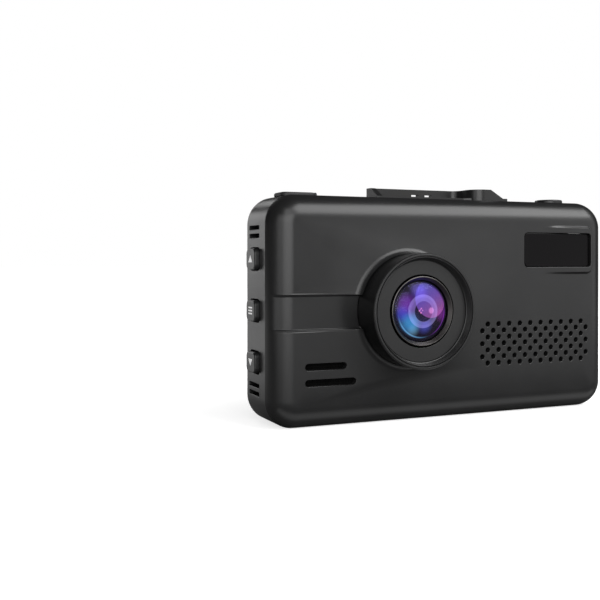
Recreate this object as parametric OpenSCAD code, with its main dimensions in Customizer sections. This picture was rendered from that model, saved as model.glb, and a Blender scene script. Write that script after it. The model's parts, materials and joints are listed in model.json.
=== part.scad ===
// Windscreen dash camera with radar and laser detector.
// X runs to the right as the lens side is faced, the lens looks along -Y,
// Z is up, and the origin is the middle of the flat underside.
// Turned and swept outlines are drawn as (distance from the axis, distance
// forward of the origin plane), and forward is -Y.

/* [Body] */
// Width of the body
body_w = 99; // [90:1:110]
// Height of the body
body_h = 56; // [54:1:62]
// Radius of the body's four corners, seen from the front
corner_r = 7; // [7:0.5:11]
// Distance of the front panel forward of the origin
front_f = 12; // [11:0.5:14]
// Distance of the shell's rear rim behind the origin
rim_b = 6; // [5.5:0.5:7]
// Radius that rolls the front panel into the sides
front_fillet = 6; // [4:0.5:7]
// Wall thickness of the shells
wall = 1.8; // [1.5:0.1:2]

/* [Lens] */
// Distance of the lens axis left of the middle
lens_left = 13.5; // [10:0.1:16]
// Height of the lens axis
lens_z = 28; // [27:0.5:30]
// Outer radius of the lens hood
hood_r = 13.9; // [13:0.1:14.5]
// Reach of the lens hood forward of the front panel
hood_reach = 8.5; // [8:0.1:10]
// Radius of the concave flare round the hood's foot
flare_r = 1.8; // [1:0.1:2]
// Radius of the front lens element
glass_r = 7.35; // [6.5:0.05:7.4]

/* [Grille] */
// Spacing of the speaker holes along a row
hole_pitch = 3.35; // [3.2:0.05:3.4]
// Radius of a speaker hole
hole_r = 0.65; // [0.5:0.05:0.7]
// Number of holes in the long rows
long_row = 11; // [9:1:11]

/* [Buttons] */
// Length of a side button from front to back
cap_l = 6.2; // [5.5:0.1:6.5]
// Height of a side button
cap_h = 5.1; // [4.5:0.1:5.5]
// Height that a side button stands out of the side
cap_out = 1.2; // [0.9:0.1:1.5]
// Distance between the middles of neighbouring side buttons
cap_pitch = 12.55; // [11:0.05:12.6]
// Radius of the power button
power_r = 3.75; // [3.5:0.05:4.4]

/* [Screen] */
// Width of the screen's cover plate
plate_w = 87; // [86:0.5:88]
// Height of the screen's cover plate
plate_h = 45.7; // [45:0.1:46]
// Width of the display's lit area
active_w = 66.4; // [60:0.1:68]
// Height of the display's lit area
active_h = 37.4; // [34:0.1:38]

/* [Hidden] */
$fn = 64;
mid_z = body_h / 2;
half_w = body_w / 2;
lens_x = -lens_left;
eps = 0.01;
inner_f = front_f - wall;          // inside of the front panel
inner_x = half_w - wall;           // inside of the side walls
inner_top = body_h - wall;         // inside of the top wall
hood_f = front_f + hood_reach;

// Rear cover and screen plate, measured backwards from the origin
cover_w = body_w - 2 * wall - 0.4;
cover_h = body_h - 2 * wall - 0.4;
cover_r = corner_r - wall - 0.2;
cover_lip_b = 4.6;
cover_floor_b = 5.8;
seat_b = 7.2;
rear_b = 8.2;
bevel_start_b = 6.2;
bevel_w = 3.4;
lcd_z = 28.5;
lcd_w = active_w + 3.6;
lcd_h = active_h + 4.6;

// Boards, measured forwards from the origin
board_f = -0.2;                    // front face of the main board
board_t = 1.2;
board_w = 71;
board_z = [5, 48.5];
sensor_f = 2.6;                    // front face of the sensor board

// Places of screws and bosses as [x, z]
case_posts = [for (x = [-39, 39], z = [10, 46]) [x, z]];
board_posts = [[-32, 24], [-32, 40], [2.5, 7], [2.5, 46.2]];
sensor_posts = [for (s = [-1, 1]) [lens_x + s * 11, lens_z]];
post_r = 2.8;
shank_r = 1;
pilot_r = 1.02;

// Controls
cap_zs = [for (i = [-1:1]) mid_z + i * cap_pitch];
cap_gap = 0.35;
power_x = 39;
power_out = 1.2;
power_flange_r = power_r + 0.8;
port_x = -39;
port_l = 9.2;
port_d = 7;
hinge_x = port_x + port_l / 2;
hinge_z = body_h + 0.55;

// Side boards that carry the button switches
button_board_x = [half_w - 6.8, half_w - 5.8];
switch_t = 1.7;
plunger_t = 0.6;

// Laser window
laser_x = [21.7, 43];
laser_z = [38.5, 47.4];

// Bracket on top
deck_t = 0.8;
rail_h = 3.1;
rail_t = 1.5;
rail_y = 4.5;
rail_left = -16.6;
rail_turn = 8;
contact_mid = [-3, 0.3];
contact_l = 12;
contact_d = 4.4;
stake_xs = [-13, 7];

// Microphone behind the screen plate
mic_x = 41;
mic_z = 22.4;

// ---------- drawing helpers ----------

// Extrudes an (X, Z) outline between two distances forward of the origin.
module along_f(f0, f1) translate([0, -f0, 0]) rotate([90, 0, 0]) linear_extrude(f1 - f0) children();

// Extrudes a (Y, Z) outline along X.
module along_x(x0, x1) translate([x0, 0, 0]) rotate([90, 0, 90]) linear_extrude(x1 - x0) children();

// Extrudes an (X, Y) outline along Z.
module along_z(z0, z1) translate([0, 0, z0]) linear_extrude(z1 - z0) children();

// Turns an outline of (radius, forward distance) about a line along Y.
module turned(x, z) translate([x, 0, z]) rotate([90, 0, 0]) rotate_extrude() children();

// A round bar along Y.
module rod(x, z, r, f0, f1) translate([x, -f0, z]) rotate([90, 0, 0]) cylinder(r = r, h = f1 - f0);

// A box from its lowest to its highest corner.
module block(a, b) translate(a) cube(b - a);

// A rectangle in two dimensions from corner to corner.
module patch(a, b) translate(a) square(b - a);

// A centred rectangle with round corners.
module rounded(w, h, r) {
    square([w - 2 * r, h], center = true);
    square([w, h - 2 * r], center = true);
    for (x = [-1, 1], y = [-1, 1]) translate([x * (w / 2 - r), y * (h / 2 - r)]) circle(r);
}

// Sweeps an outline round a rounded rectangle; its radii start at the corner centres.
module swept(w, h, r) {
    cx = w / 2 - r;
    cz = h / 2 - r;
    for (mx = [0, 1], mz = [0, 1]) translate([0, 0, mid_z]) mirror([mx, 0, 0]) mirror([0, 0, mz])
        translate([cx, 0, cz]) rotate([90, 0, 0]) rotate_extrude(angle = 90) children();
    for (mx = [0, 1]) translate([0, 0, mid_z]) mirror([mx, 0, 0])
        translate([cx, 0, cz]) rotate([180, 0, 0]) linear_extrude(2 * cz) children();
    for (mz = [0, 1]) translate([0, 0, mid_z]) mirror([0, 0, mz])
        translate([-cx, 0, cz]) rotate([0, -90, 0]) rotate([180, 0, 0]) linear_extrude(2 * cx) children();
}

// The edge of a slab whose front edge is rolled over by a quarter round.
module rolled_edge(r, fillet, f0, f1) {
    patch([0, f0], [r, f1 - fillet]);
    patch([0, f0], [r - fillet, f1]);
    intersection() {
        translate([r - fillet, f1 - fillet]) circle(fillet);
        patch([r - fillet, f1 - fillet], [r, f1]);
    }
}

module rolled_slab(w, h, r, fillet, f0, f1) {
    swept(w, h, r) rolled_edge(r, fillet, f0, f1);
    block([r - w / 2, -f1, mid_z - h / 2 + r], [w / 2 - r, -f0, mid_z + h / 2 - r]);
}

// Centres of the speaker holes as [x, z], long and short rows in turn.
grille_x = 25.15;
grille_z = 18.7;
grille_holes = [for (row = [-3:3]) let (n = long_row - abs(row) % 2)
                for (i = [0:n - 1]) [grille_x + (i - (n - 1) / 2) * hole_pitch, grille_z + row * hole_pitch / 2]];

// ---------- shells ----------

// Plan section of the shell's front edge, used to cut the band beside the lens.
module front_section(drop) {
    translate([0, drop]) {
        patch([-half_w, front_fillet - front_f], [half_w, rim_b]);
        patch([front_fillet - half_w, -front_f], [half_w - front_fillet, rim_b]);
        for (x = [front_fillet - half_w, half_w - front_fillet])
            translate([x, front_fillet - front_f]) circle(front_fillet);
    }
}

// Shallow band that runs from the left edge to the lens.
band_z = [23.8, 31.8];
band_drop = 0.4;
module band_cut()
    along_z(band_z[0], band_z[1])
        difference() {
            patch([-half_w - 1, -front_f - 3], [lens_x - hood_r - 0.5, front_fillet - front_f]);
            front_section(band_drop);
        }

// Raised ramp round the laser window, flush at its left end.
pod_x = [28, 44.1];
pod_z = [36.8, 49.2];
pod_rise = 0.7;
module laser_pod()
    along_z(pod_z[0], pod_z[1])
        polygon([[pod_x[0] - 2, -front_f + 0.5], [pod_x[0], -front_f], [pod_x[1] - 0.6, -front_f - pod_rise],
                 [pod_x[1], -front_f - pod_rise + 0.5], [pod_x[1], -front_f + 1.5], [pod_x[1] - 3, -front_f + 1.5]]);

// Round-ended slot along X, given by its two ends and its height.
module long_slot(x0, x1, z, h) {
    patch([x0 + h / 2, z - h / 2], [x1 - h / 2, z + h / 2]);
    for (x = [x0 + h / 2, x1 - h / 2]) translate([x, z]) circle(h / 2);
}

// Slots in the front panel, each as its two ends and its height above the underside
front_slots = [[-41.2, -30.4, 15], [-41.2, -27.9, 11.2]];
slot_h = 1.6;
vent_y = [-3.05, 3.85];
vent_h = 1;
vent_zs = [48.2, 46.2, 9.8, 7.8];
module side_openings() {
    through = wall + 2;
    for (side = [-1, 1]) along_x(side * half_w - through, side * half_w + through) {
        for (z = cap_zs) translate([0, z]) rounded(cap_l + 2 * cap_gap, cap_h + 2 * cap_gap, 1.2);
        for (z = vent_zs) patch([vent_y[0], z - vent_h / 2], [vent_y[1], z + vent_h / 2]);
    }
}

card_x = [10, 22];
module top_openings() {
    top = [inner_top - 1, body_h + 1];
    translate([power_x, 0, top[0]]) cylinder(r = power_r + 0.25, h = top[1] - top[0]);
    along_z(top[0], top[1]) translate([port_x, 0]) rounded(8.4, 3.4, 0.8);
    along_z(top[0], top[1]) translate(contact_mid)
        square([contact_l + 0.2, contact_d + 0.2], center = true);
    for (x = stake_xs) translate([x, contact_mid[1], top[0]]) cylinder(r = 1.25, h = top[1] - top[0]);
}

// Pairs of ribs that the side boards slide between.
guide_zs = [25.2, 35];
guide_t = 0.75;
guide_h = 1.2;
module board_guides()
    for (side = [0, 1], z = guide_zs, x = [button_board_x[0] - guide_t - 0.05, button_board_x[1] + 0.05])
        mirror([side, 0, 0]) block([x, -inner_f - 0.2, z - guide_h / 2], [x + guide_t, -2, z + guide_h / 2]);

module front_shell() color([0.16, 0.16, 0.165]) {
    difference() {
        union() {
            difference() {
                rolled_slab(body_w, body_h, corner_r, front_fillet, -rim_b, front_f);
                rolled_slab(body_w - 2 * wall, body_h - 2 * wall, corner_r - wall, front_fillet - wall,
                            -rim_b - 1, inner_f);
            }
            laser_pod();
            turned(lens_x, lens_z) difference() {
                patch([hood_r + 0.1, front_f - 0.5], [hood_r + 0.1 + flare_r, front_f + flare_r]);
                translate([hood_r + 0.1 + flare_r, front_f + flare_r]) circle(flare_r);
            }
            for (p = case_posts) rod(p[0], p[1], post_r, -3.8, inner_f + 0.2);
            for (p = board_posts) rod(p[0], p[1], 2.2, board_f, inner_f + 0.2);
            board_guides();
        }
        rod(lens_x, lens_z, hood_r + 0.1, front_f - 3, front_f + 3);
        band_cut();
        for (p = case_posts) rod(p[0], p[1], pilot_r, -4, 6);
        for (p = board_posts) rod(p[0], p[1], pilot_r, -1, 6);
        along_f(front_f - 3, front_f + 2)
            translate([(laser_x[0] + laser_x[1]) / 2, (laser_z[0] + laser_z[1]) / 2])
                rounded(laser_x[1] - laser_x[0] + 0.2, laser_z[1] - laser_z[0] + 0.2, 1);
        along_f(front_f - 3, front_f + 2)
            for (s = front_slots) long_slot(s[0], s[1], s[2], slot_h);
        for (h = grille_holes) rod(h[0], h[1], hole_r, front_f - 3, front_f + 1);
        side_openings();
        top_openings();
        block([card_x[0], -1.3, -1], [card_x[1], 0, wall + 1]);
    }
}

// Edge of the rear cover: a straight lip, then a full curve up to the screen plate.
module cover_edge() {
    crown_r = 5;
    patch([0, -rear_b], [cover_r - bevel_w, -cover_lip_b]);
    intersection() {
        patch([0, -rear_b], [cover_r, -cover_lip_b]);
        union() {
            patch([0, -bevel_start_b], [cover_r, -cover_lip_b]);
            translate([cover_r - 4.03, -3.24]) circle(crown_r);
        }
    }
}

module rear_cover() color([0.14, 0.14, 0.145])
    difference() {
        union() {
            difference() {
                union() {
                    swept(cover_w, cover_h, cover_r) cover_edge();
                    block([cover_r - cover_w / 2, cover_lip_b, mid_z + cover_r - cover_h / 2],
                          [cover_w / 2 - cover_r, rear_b, mid_z - cover_r + cover_h / 2]);
                }
                along_f(-cover_floor_b, -cover_lip_b + 1) translate([0, mid_z])
                    rounded(cover_w - 2.4, cover_h - 2.4, cover_r - 1.2);
            }
            for (p = case_posts) rod(p[0], p[1], 2.6, -cover_floor_b - 0.2, -3.8);
        }
        along_f(-rear_b - 1, -seat_b) translate([0, mid_z]) rounded(plate_w + 0.3, plate_h + 0.3, 2.35);
        along_f(-rear_b, -2) translate([0, lcd_z]) square([lcd_w + 0.4, lcd_h + 0.4], center = true);
        for (p = case_posts) {
            rod(p[0], p[1], 1.1, -rear_b, -2);
            rod(p[0], p[1], 2.1, -rear_b, -5.6);
        }
        rod(mic_x, mic_z, 0.8, -rear_b, -cover_floor_b + 1);
        // clearance behind the power button's flange
        block([power_x - power_flange_r - 0.9, 0, 51], [power_x + power_flange_r + 0.9, 5.5, body_h]);
    }

// ---------- lens ----------

module lens_hood() color([0.04, 0.04, 0.045])
    turned(lens_x, lens_z) {
        difference() {
            union() {
                patch([12.2, inner_f - 1], [15.5, inner_f]);
                patch([12.2, inner_f - 1], [hood_r, hood_f - 0.4]);
                patch([12.6, inner_f - 1], [13.2, hood_f]);
            }
            patch([13.15, hood_f - 0.8], [13.35, hood_f + 1]);
        }
        patch([11, hood_f - 3], [12.3, hood_f - 2.4]);
        for (i = [0:4]) patch([11.9 + i * 0.12, hood_f - 3], [12.7, hood_f - 1.6 + i * 0.3]);
    }

module lens_face_plate() color([0.06, 0.06, 0.065])
    turned(lens_x, lens_z) patch([ring_r + 0.35, hood_f - 2.4], [11.85, hood_f - 1.8]);

// The barrel's mouth holds the front glass and carries the trim ring
mouth_f = 17.6;
seat_f = 15.5;
ring_r = 8.45;
module lens_trim_ring() color([0.45, 0.45, 0.47])
    turned(lens_x, lens_z)
        polygon([[glass_r + 0.05, mouth_f], [ring_r, mouth_f], [ring_r, mouth_f + 1.3], [ring_r - 0.4, mouth_f + 1.5],
                 [glass_r + 0.05, mouth_f + 0.8]]);

module lens_barrel() color([0.05, 0.05, 0.055])
    turned(lens_x, lens_z) {
        patch([glass_r + 0.05, seat_f], [ring_r, mouth_f]);
        patch([5.2, 11], [ring_r, seat_f]);
        patch([4.6, 4.9], [6, 11]);
    }

front_curve_r = 16;
front_apex_f = 19.75;
module front_glass() color([0.35, 0.25, 0.6, 0.6])
    turned(lens_x, lens_z) intersection() {
        patch([0, seat_f], [glass_r, hood_f]);
        translate([0, front_apex_f - front_curve_r]) circle(front_curve_r);
    }

module middle_element() color([0.4, 0.45, 0.6, 0.6])
    turned(lens_x, lens_z) intersection() {
        patch([0, 11.5], [5.15, 15]);
        translate([0, 14.6 - 9]) circle(9);
    }

module rear_element() color([0.4, 0.45, 0.6, 0.6])
    turned(lens_x, lens_z) patch([0, 6.5], [4.55, 8.5]);

module lens_lock_ring() color([0.08, 0.08, 0.085])
    turned(lens_x, lens_z) patch([6.05, 9.05], [8, 10.9]);

holder_f = 9;
module lens_holder() color([0.1, 0.1, 0.105])
    difference() {
        union() {
            along_f(sensor_f, holder_f) translate([lens_x, lens_z]) rounded(18, 18, 1.5);
            for (p = sensor_posts) rod(p[0], p[1], 2.2, sensor_f, 7);
        }
        rod(lens_x, lens_z, 6.05, sensor_f + 2, holder_f + 1);
        along_f(sensor_f - 1, 4.85) translate([lens_x, lens_z]) square([12, 12], center = true);
        for (p = sensor_posts) rod(p[0], p[1], 0.82, sensor_f - 1, 6.5);
    }

module ir_filter() color([0.5, 0.75, 0.8, 0.6])
    along_f(4.2, 4.6) translate([lens_x, lens_z]) square([8, 8], center = true);

module image_sensor() color([0.25, 0.3, 0.25])
    along_f(sensor_f, 4.2) translate([lens_x, lens_z]) square([8.5, 8.5], center = true);

module sensor_board() color([0.05, 0.3, 0.12])
    difference() {
        along_f(sensor_f - 1, sensor_f) translate([lens_x, lens_z]) rounded(26, 23.4, 1);
        for (p = sensor_posts) rod(p[0], p[1], 0.9, 0, 4);
    }

module sensor_screws() color([0.7, 0.7, 0.72])
    for (p = sensor_posts) {
        rod(p[0], p[1], 0.8, sensor_f - 1, 6);
        rod(p[0], p[1], 1.5, sensor_f - 1.8, sensor_f - 1);
    }

// ---------- laser receiver ----------

laser_mid = [(laser_x[0] + laser_x[1]) / 2, (laser_z[0] + laser_z[1]) / 2];
tube_x = 29;
module laser_window() color([0.03, 0.02, 0.03, 0.9]) {
    along_f(inner_f, front_f) translate(laser_mid)
        rounded(laser_x[1] - laser_x[0], laser_z[1] - laser_z[0], 0.9);
    along_f(inner_f - 0.8, inner_f)
        patch([laser_x[0] - 0.8, laser_z[0] - 0.8], [case_posts[3][0] - 3, laser_z[1] + 0.8]);
}

module laser_housing() color([0.08, 0.08, 0.08])
    difference() {
        along_f(0, inner_f - 0.85) translate([tube_x, laser_mid[1]]) square([13, 10], center = true);
        rod(tube_x, laser_mid[1], 4.4, 1.5, inner_f);
        along_f(-1, 2) translate([tube_x, laser_mid[1]]) square([7, 6], center = true);
    }

module laser_lens() color([0.7, 0.6, 0.75, 0.6])
    turned(tube_x, laser_mid[1]) intersection() {
        patch([0, 5.5], [4.35, 9]);
        translate([0, 8.6 - 5.5]) circle(5.5);
    }

module laser_sensor() color([0.1, 0.1, 0.1])
    along_f(board_f, 1.4) translate([tube_x, laser_mid[1]]) square([5, 4], center = true);

// ---------- speaker ----------

speaker_x = 25.1;
speaker_f = 9.4;
cloth_t = 0.25;
module oval(l, h) {
    square([l - h, h], center = true);
    for (s = [-1, 1]) translate([s * (l - h) / 2, 0]) circle(h / 2);
}

module speaker_mesh() color([0.05, 0.05, 0.05])
    along_f(inner_f - cloth_t, inner_f) patch([7.4, 12.95], [42.8, 24.4]);

// Dust cloth behind the two front slots, cut out round the screw post
module vent_mesh() color([0.05, 0.05, 0.05])
    difference() {
        along_f(inner_f - cloth_t, inner_f)
            patch([front_slots[0][0] - 1.3, front_slots[1][2] - 2.2], [front_slots[1][1] + 1.3, front_slots[0][2] + 2]);
        rod(case_posts[0][0], case_posts[0][1], post_r + 0.1, 0, front_f);
    }

module speaker_basket() color([0.2, 0.2, 0.21])
    translate([speaker_x, 0, grille_z])
        difference() {
            along_f(speaker_f - 4.2, speaker_f) oval(30, 16);
            along_f(speaker_f - 3.6, speaker_f + 1) oval(28, 14);
            rod(0, 0, 4.6, 0, 8);
        }

module speaker_cone() color([0.1, 0.1, 0.1])
    translate([speaker_x, 0, grille_z]) {
        along_f(speaker_f - 1.2, speaker_f - 0.6) difference() {
            oval(27.9, 13.9);
            circle(5);
        }
        rotate([90, 0, 0]) rotate_extrude() intersection() {
            patch([0, speaker_f - 1.2], [5, speaker_f + 0.4]);
            translate([0, speaker_f - 10.2]) circle(10.4);
        }
    }

module speaker_magnet() color([0.6, 0.6, 0.62])
    translate([speaker_x, 0, grille_z]) rod(0, 0, 4.5, speaker_f - 5.6, speaker_f - 1.4);

// ---------- radar receiver ----------

horn_x = [3.5, 33];
horn_z = [29.2, 37.2];
horn_f = [1.8, 9.9];
throat = [10, 5];
// Solid taper from the throat to the mouth, smaller all round by inset.
module horn_taper(inset, f0, f1) {
    mx = (horn_x[0] + horn_x[1]) / 2;
    mz = (horn_z[0] + horn_z[1]) / 2;
    wide = (horn_x[1] - horn_x[0]) / 2 - inset;
    tall = (horn_z[1] - horn_z[0]) / 2 - inset;
    slim = throat[0] / 2 - inset;
    low = throat[1] / 2 - inset;
    intersection() {
        along_z(horn_z[0] - 1, horn_z[1] + 1)
            polygon([[mx - slim, -f0], [mx + slim, -f0], [mx + wide, -f1], [mx - wide, -f1]]);
        along_x(horn_x[0] - 1, horn_x[1] + 1)
            polygon([[-f0, mz - low], [-f0, mz + low], [-f1, mz + tall], [-f1, mz - tall]]);
    }
}

module horn_antenna() color([0.62, 0.62, 0.64])
    difference() {
        horn_taper(0, horn_f[0], horn_f[1]);
        horn_taper(0.8, horn_f[0] + 0.8, horn_f[1] + eps);
    }

module radar_board() color([0.05, 0.3, 0.12])
    along_f(0.8, horn_f[0]) patch([3, 29], [35.5, 37.4]);

// ---------- boards ----------

module main_board() color([0.05, 0.28, 0.12])
    difference() {
        along_f(board_f - board_t, board_f) patch([-board_w / 2, board_z[0]], [board_w / 2, board_z[1]]);
        for (p = board_posts) rod(p[0], p[1], 1.1, -3, 2);
    }

module board_screws() color([0.7, 0.7, 0.72])
    for (p = board_posts) {
        rod(p[0], p[1], shank_r, board_f - board_t, 4);
        rod(p[0], p[1], 1.9, board_f - board_t - 1.1, board_f - board_t);
    }

board_back = board_f - board_t;
module processor() color([0.08, 0.08, 0.09])
    along_f(board_back - 1.2, board_back) translate([-10, 30]) square([13, 13], center = true);

module heat_spreader() color([0.72, 0.72, 0.74])
    along_f(board_back - 2, board_back - 1.2) translate([-10, 30]) square([20, 20], center = true);

module memory_chip() color([0.08, 0.08, 0.09])
    along_f(board_back - 1, board_back) translate([10, 30]) square([9, 11], center = true);

module supercapacitors() color([0.1, 0.15, 0.3])
    for (x = [-31, -16]) translate([x, -3.85, 8.6]) rotate([0, 90, 0]) cylinder(r = 4, h = 13);

module board_connectors() color([0.85, 0.82, 0.72]) {
    along_f(board_f, sensor_f - 1) patch([-20, 17.5], [-8, 19.5]);
    along_f(board_f, 0.8) patch([20, 31], [32, 33]);
    along_f(board_back - 1.3, board_back) patch([-9.5, 9.5], [9.5, 12.5]);
}

module microsd_socket() color([0.75, 0.75, 0.77])
    difference() {
        along_f(board_f, 1.5) patch([9, 2.1], [23, 16.1]);
        along_f(0.2, 1.1) patch([10.2, 1], [21.8, 15]);
    }

module gps_board() color([0.05, 0.3, 0.12]) block([-25.2, -9.4, 48.8], [-11.2, 4, 49.6]);

module gps_antenna() color([0.72, 0.66, 0.52]) block([-24, -8, 49.6], [-12.4, 3.6, 53.6]);

usb_z = 49.65;
module usb_board() color([0.05, 0.3, 0.12])
    block([port_x - 4.3, -5, usb_z - 0.75], [port_x + 6.2, 3.6, usb_z]);

module usb_socket() color([0.75, 0.75, 0.77])
    translate([port_x, 0, 0]) difference() {
        along_z(usb_z, 54) rounded(7.8, 3, 0.6);
        along_z(usb_z + 0.75, 55) rounded(7.2, 2.4, 0.4);
    }

power_board_z = [49, 49.8];
module power_board() color([0.05, 0.3, 0.12])
    block([power_x - 5.4, -4.4, power_board_z[0]], [power_x + 4.4, 3.6, power_board_z[1]]);

module button_boards() color([0.05, 0.3, 0.12])
    for (side = [0, 1]) mirror([side, 0, 0])
        block([button_board_x[0], -5, 11.4], [button_board_x[1], 3.6, 44.8]);

module tact_switches() color([0.2, 0.2, 0.2]) {
    for (side = [0, 1]) mirror([side, 0, 0]) for (z = cap_zs) {
        along_x(button_board_x[1], button_board_x[1] + switch_t) translate([0, z]) square([4, 4], center = true);
        along_x(button_board_x[1] + switch_t, button_board_x[1] + switch_t + plunger_t) translate([0, z]) circle(0.9);
    }
    translate([power_x, 0, 0]) {
        along_z(power_board_z[1], power_board_z[1] + switch_t) square([4, 4], center = true);
        along_z(power_board_z[1] + switch_t, power_board_z[1] + switch_t + plunger_t) circle(0.9);
    }
}

// ---------- controls ----------

// A side button on the +X side: cap, neck through the wall and retaining flange.
module side_button(z) {
    round_r = 1;
    along_x(inner_x - 0.1, half_w + cap_out - 0.4) translate([0, z]) rounded(cap_l, cap_h, round_r);
    along_x(half_w + cap_out - 0.4, half_w + cap_out) translate([0, z])
        rounded(cap_l - 0.7, cap_h - 0.7, round_r - 0.3);
    along_x(inner_x - 1.1, inner_x - 0.1) translate([0, z]) square([cap_l + 1.4, cap_h + 1.4], center = true);
}

module button_up() color([0.2, 0.2, 0.205]) mirror([1, 0, 0]) side_button(cap_zs[2]);
module button_menu() color([0.2, 0.2, 0.205]) mirror([1, 0, 0]) side_button(cap_zs[1]);
module button_down() color([0.2, 0.2, 0.205]) mirror([1, 0, 0]) side_button(cap_zs[0]);
module button_mute() color([0.2, 0.2, 0.205]) side_button(cap_zs[2]);
module button_ok() color([0.2, 0.2, 0.205]) side_button(cap_zs[1]);
module button_save() color([0.2, 0.2, 0.205]) side_button(cap_zs[0]);

module power_button() color([0.15, 0.15, 0.155])
    translate([power_x, 0, 0]) rotate_extrude() {
        patch([0, 52.9], [power_flange_r, 53.5]);
        patch([0, 53.4], [power_r, body_h + power_out - 0.4]);
        patch([0, 53.4], [power_r - 0.4, body_h + power_out]);
    }

// Rubber cover over the power and data socket; it lifts about its inner end.
module port_cover() color([0.1, 0.1, 0.1]) {
    along_x(port_x - port_l / 2, hinge_x)
        polygon([[-port_d / 2, body_h + 0.05], [port_d / 2, body_h + 0.05], [port_d / 2, body_h + 0.6],
                 [port_d / 2 - 0.45, body_h + 1.05], [0.45 - port_d / 2, body_h + 1.05], [-port_d / 2, body_h + 0.6]]);
    along_z(54.15, body_h + 0.06) translate([port_x - 0.1, 0]) rounded(7.4, 2.8, 0.7);
    translate([hinge_x, port_d / 2, hinge_z]) rotate([90, 0, 0]) cylinder(r = 0.5, h = port_d);
}

// ---------- bracket ----------

bend_r = 3;
rail_mid = rail_y - rail_t / 2;
rail_top = body_h + rail_h;
module quarter_bend() difference() {
    circle(bend_r + rail_t / 2);
    circle(bend_r - rail_t / 2);
    patch([-9, -9], [0, 9]);
    patch([-9, -9], [9, 0]);
}

run_y = -4.6;                      // centre line of the front run
run_end = 21;
foot_x = 19.6;
peak_x = 15.7;
catch_xs = [-2.8, 1.3];
module mount_bracket() color([0.12, 0.12, 0.125]) {
    bend_2 = [rail_turn + 2 * bend_r, run_y + bend_r];
    difference() {
        union() {
            // deck
            along_z(body_h, body_h + deck_t)
                polygon([[rail_left, -2.5], [rail_left, rail_y], [rail_turn, rail_y], [rail_turn + bend_r, rail_mid - bend_r],
                         [run_end, 0], [run_end, run_y - rail_t / 2], [bend_2[0], run_y - rail_t / 2],
                         [rail_turn + 1, -2.5]]);
            // left end wall, falling towards the front
            along_x(rail_left, rail_left + rail_t)
                polygon([[-2.5, body_h], [rail_y, body_h], [rail_y, rail_top], [rail_y - 2.2, rail_top],
                         [-2.5, body_h + 0.4]]);
            // rear wall, and its bend towards the front
            block([rail_left, rail_y - rail_t, body_h], [rail_turn, rail_y, rail_top]);
            along_z(body_h, rail_top) {
                translate([rail_turn, rail_mid - bend_r]) quarter_bend();
                patch([rail_turn + bend_r - rail_t / 2, bend_2[1]],
                      [rail_turn + bend_r + rail_t / 2, rail_mid - bend_r]);
                translate(bend_2) rotate(180) quarter_bend();
            }
            // front run, falling to a low foot
            along_f(-run_y - rail_t / 2, -run_y + rail_t / 2)
                polygon([[bend_2[0], body_h], [run_end, body_h], [run_end, body_h + deck_t],
                         [foot_x, body_h + deck_t], [peak_x, rail_top], [bend_2[0], rail_top]]);
        }
        for (x = catch_xs) block([x - 1.1, 0, body_h + deck_t + 0.1], [x + 1.1, rail_y + 1, body_h + 1.8]);
        along_z(body_h - 1, body_h + 2) translate(contact_mid)
            square([contact_l + 0.2, contact_d + 0.2], center = true);
    }
    for (x = stake_xs) translate([x, contact_mid[1], inner_top - 0.3]) cylinder(r = 1.2, h = wall + 0.4);
}

contact_top = body_h + deck_t - 0.15;
module contact_block() color([0.1, 0.1, 0.1])
    translate(contact_mid) {
        along_z(inner_top - 0.1, contact_top) square([contact_l, contact_d], center = true);
        along_z(inner_top - 1.6, inner_top - 0.05) square([contact_l + 1.6, contact_d + 1.6], center = true);
    }

module contact_pads() color([0.85, 0.68, 0.3])
    for (i = [0:3]) translate([contact_mid[0] + (i - 1.5) * 2.7, contact_mid[1], contact_top])
        linear_extrude(0.1) rounded(1.7, 3.2, 0.3);

// ---------- rear and screen ----------

module case_screws() color([0.7, 0.7, 0.72])
    for (p = case_posts) {
        rod(p[0], p[1], shank_r, -5.6, 1);
        rod(p[0], p[1], 1.9, -6.9, -5.6);
    }

module screen_window() color([0.05, 0.05, 0.055])
    difference() {
        along_f(-rear_b, -seat_b - 0.15) translate([0, mid_z]) rounded(plate_w, plate_h, 2.2);
        along_f(-rear_b - 1, -seat_b + 1) translate([mic_x, mic_z]) rotate(90) oval(4.6, 1.9);
    }

module window_tape() color([0.1, 0.1, 0.1])
    difference() {
        along_f(-seat_b - 0.15, -seat_b) translate([0, mid_z]) rounded(plate_w - 0.6, plate_h - 0.6, 2);
        along_f(-seat_b - 1, -seat_b + 1) translate([0, lcd_z]) square([lcd_w + 1, lcd_h + 0.8], center = true);
        along_f(-seat_b - 1, -seat_b + 1) translate([mic_x, mic_z]) rotate(90) oval(4.8, 2.1);
    }

lcd_front_b = 7.3;
module lcd_panel() color([0.02, 0.02, 0.03])
    along_f(-lcd_front_b, -6) translate([0, lcd_z]) square([lcd_w, lcd_h], center = true);

module lcd_backlight() color([0.9, 0.9, 0.92])
    along_f(-6, -4.8) translate([0, lcd_z]) square([lcd_w - 0.8, lcd_h - 0.8], center = true);

module lcd_frame() color([0.7, 0.7, 0.72])
    difference() {
        along_f(-6, -4.4) translate([0, lcd_z]) square([lcd_w, lcd_h], center = true);
        along_f(-7, -4.8) translate([0, lcd_z]) square([lcd_w - 0.7, lcd_h - 0.7], center = true);
    }

module lcd_ribbon() color([0.75, 0.45, 0.12])
    along_x(-9, 9) {
        low = lcd_z - lcd_h / 2;
        patch([2.7, low - 0.25], [5.6, low - 0.05]);
        patch([2.7, low - 0.25], [2.9, low + 4.5]);
    }

module microphone() color([0.7, 0.7, 0.72])
    rod(mic_x, mic_z, 2, -cover_floor_b, 1.5 - cover_floor_b);

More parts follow.
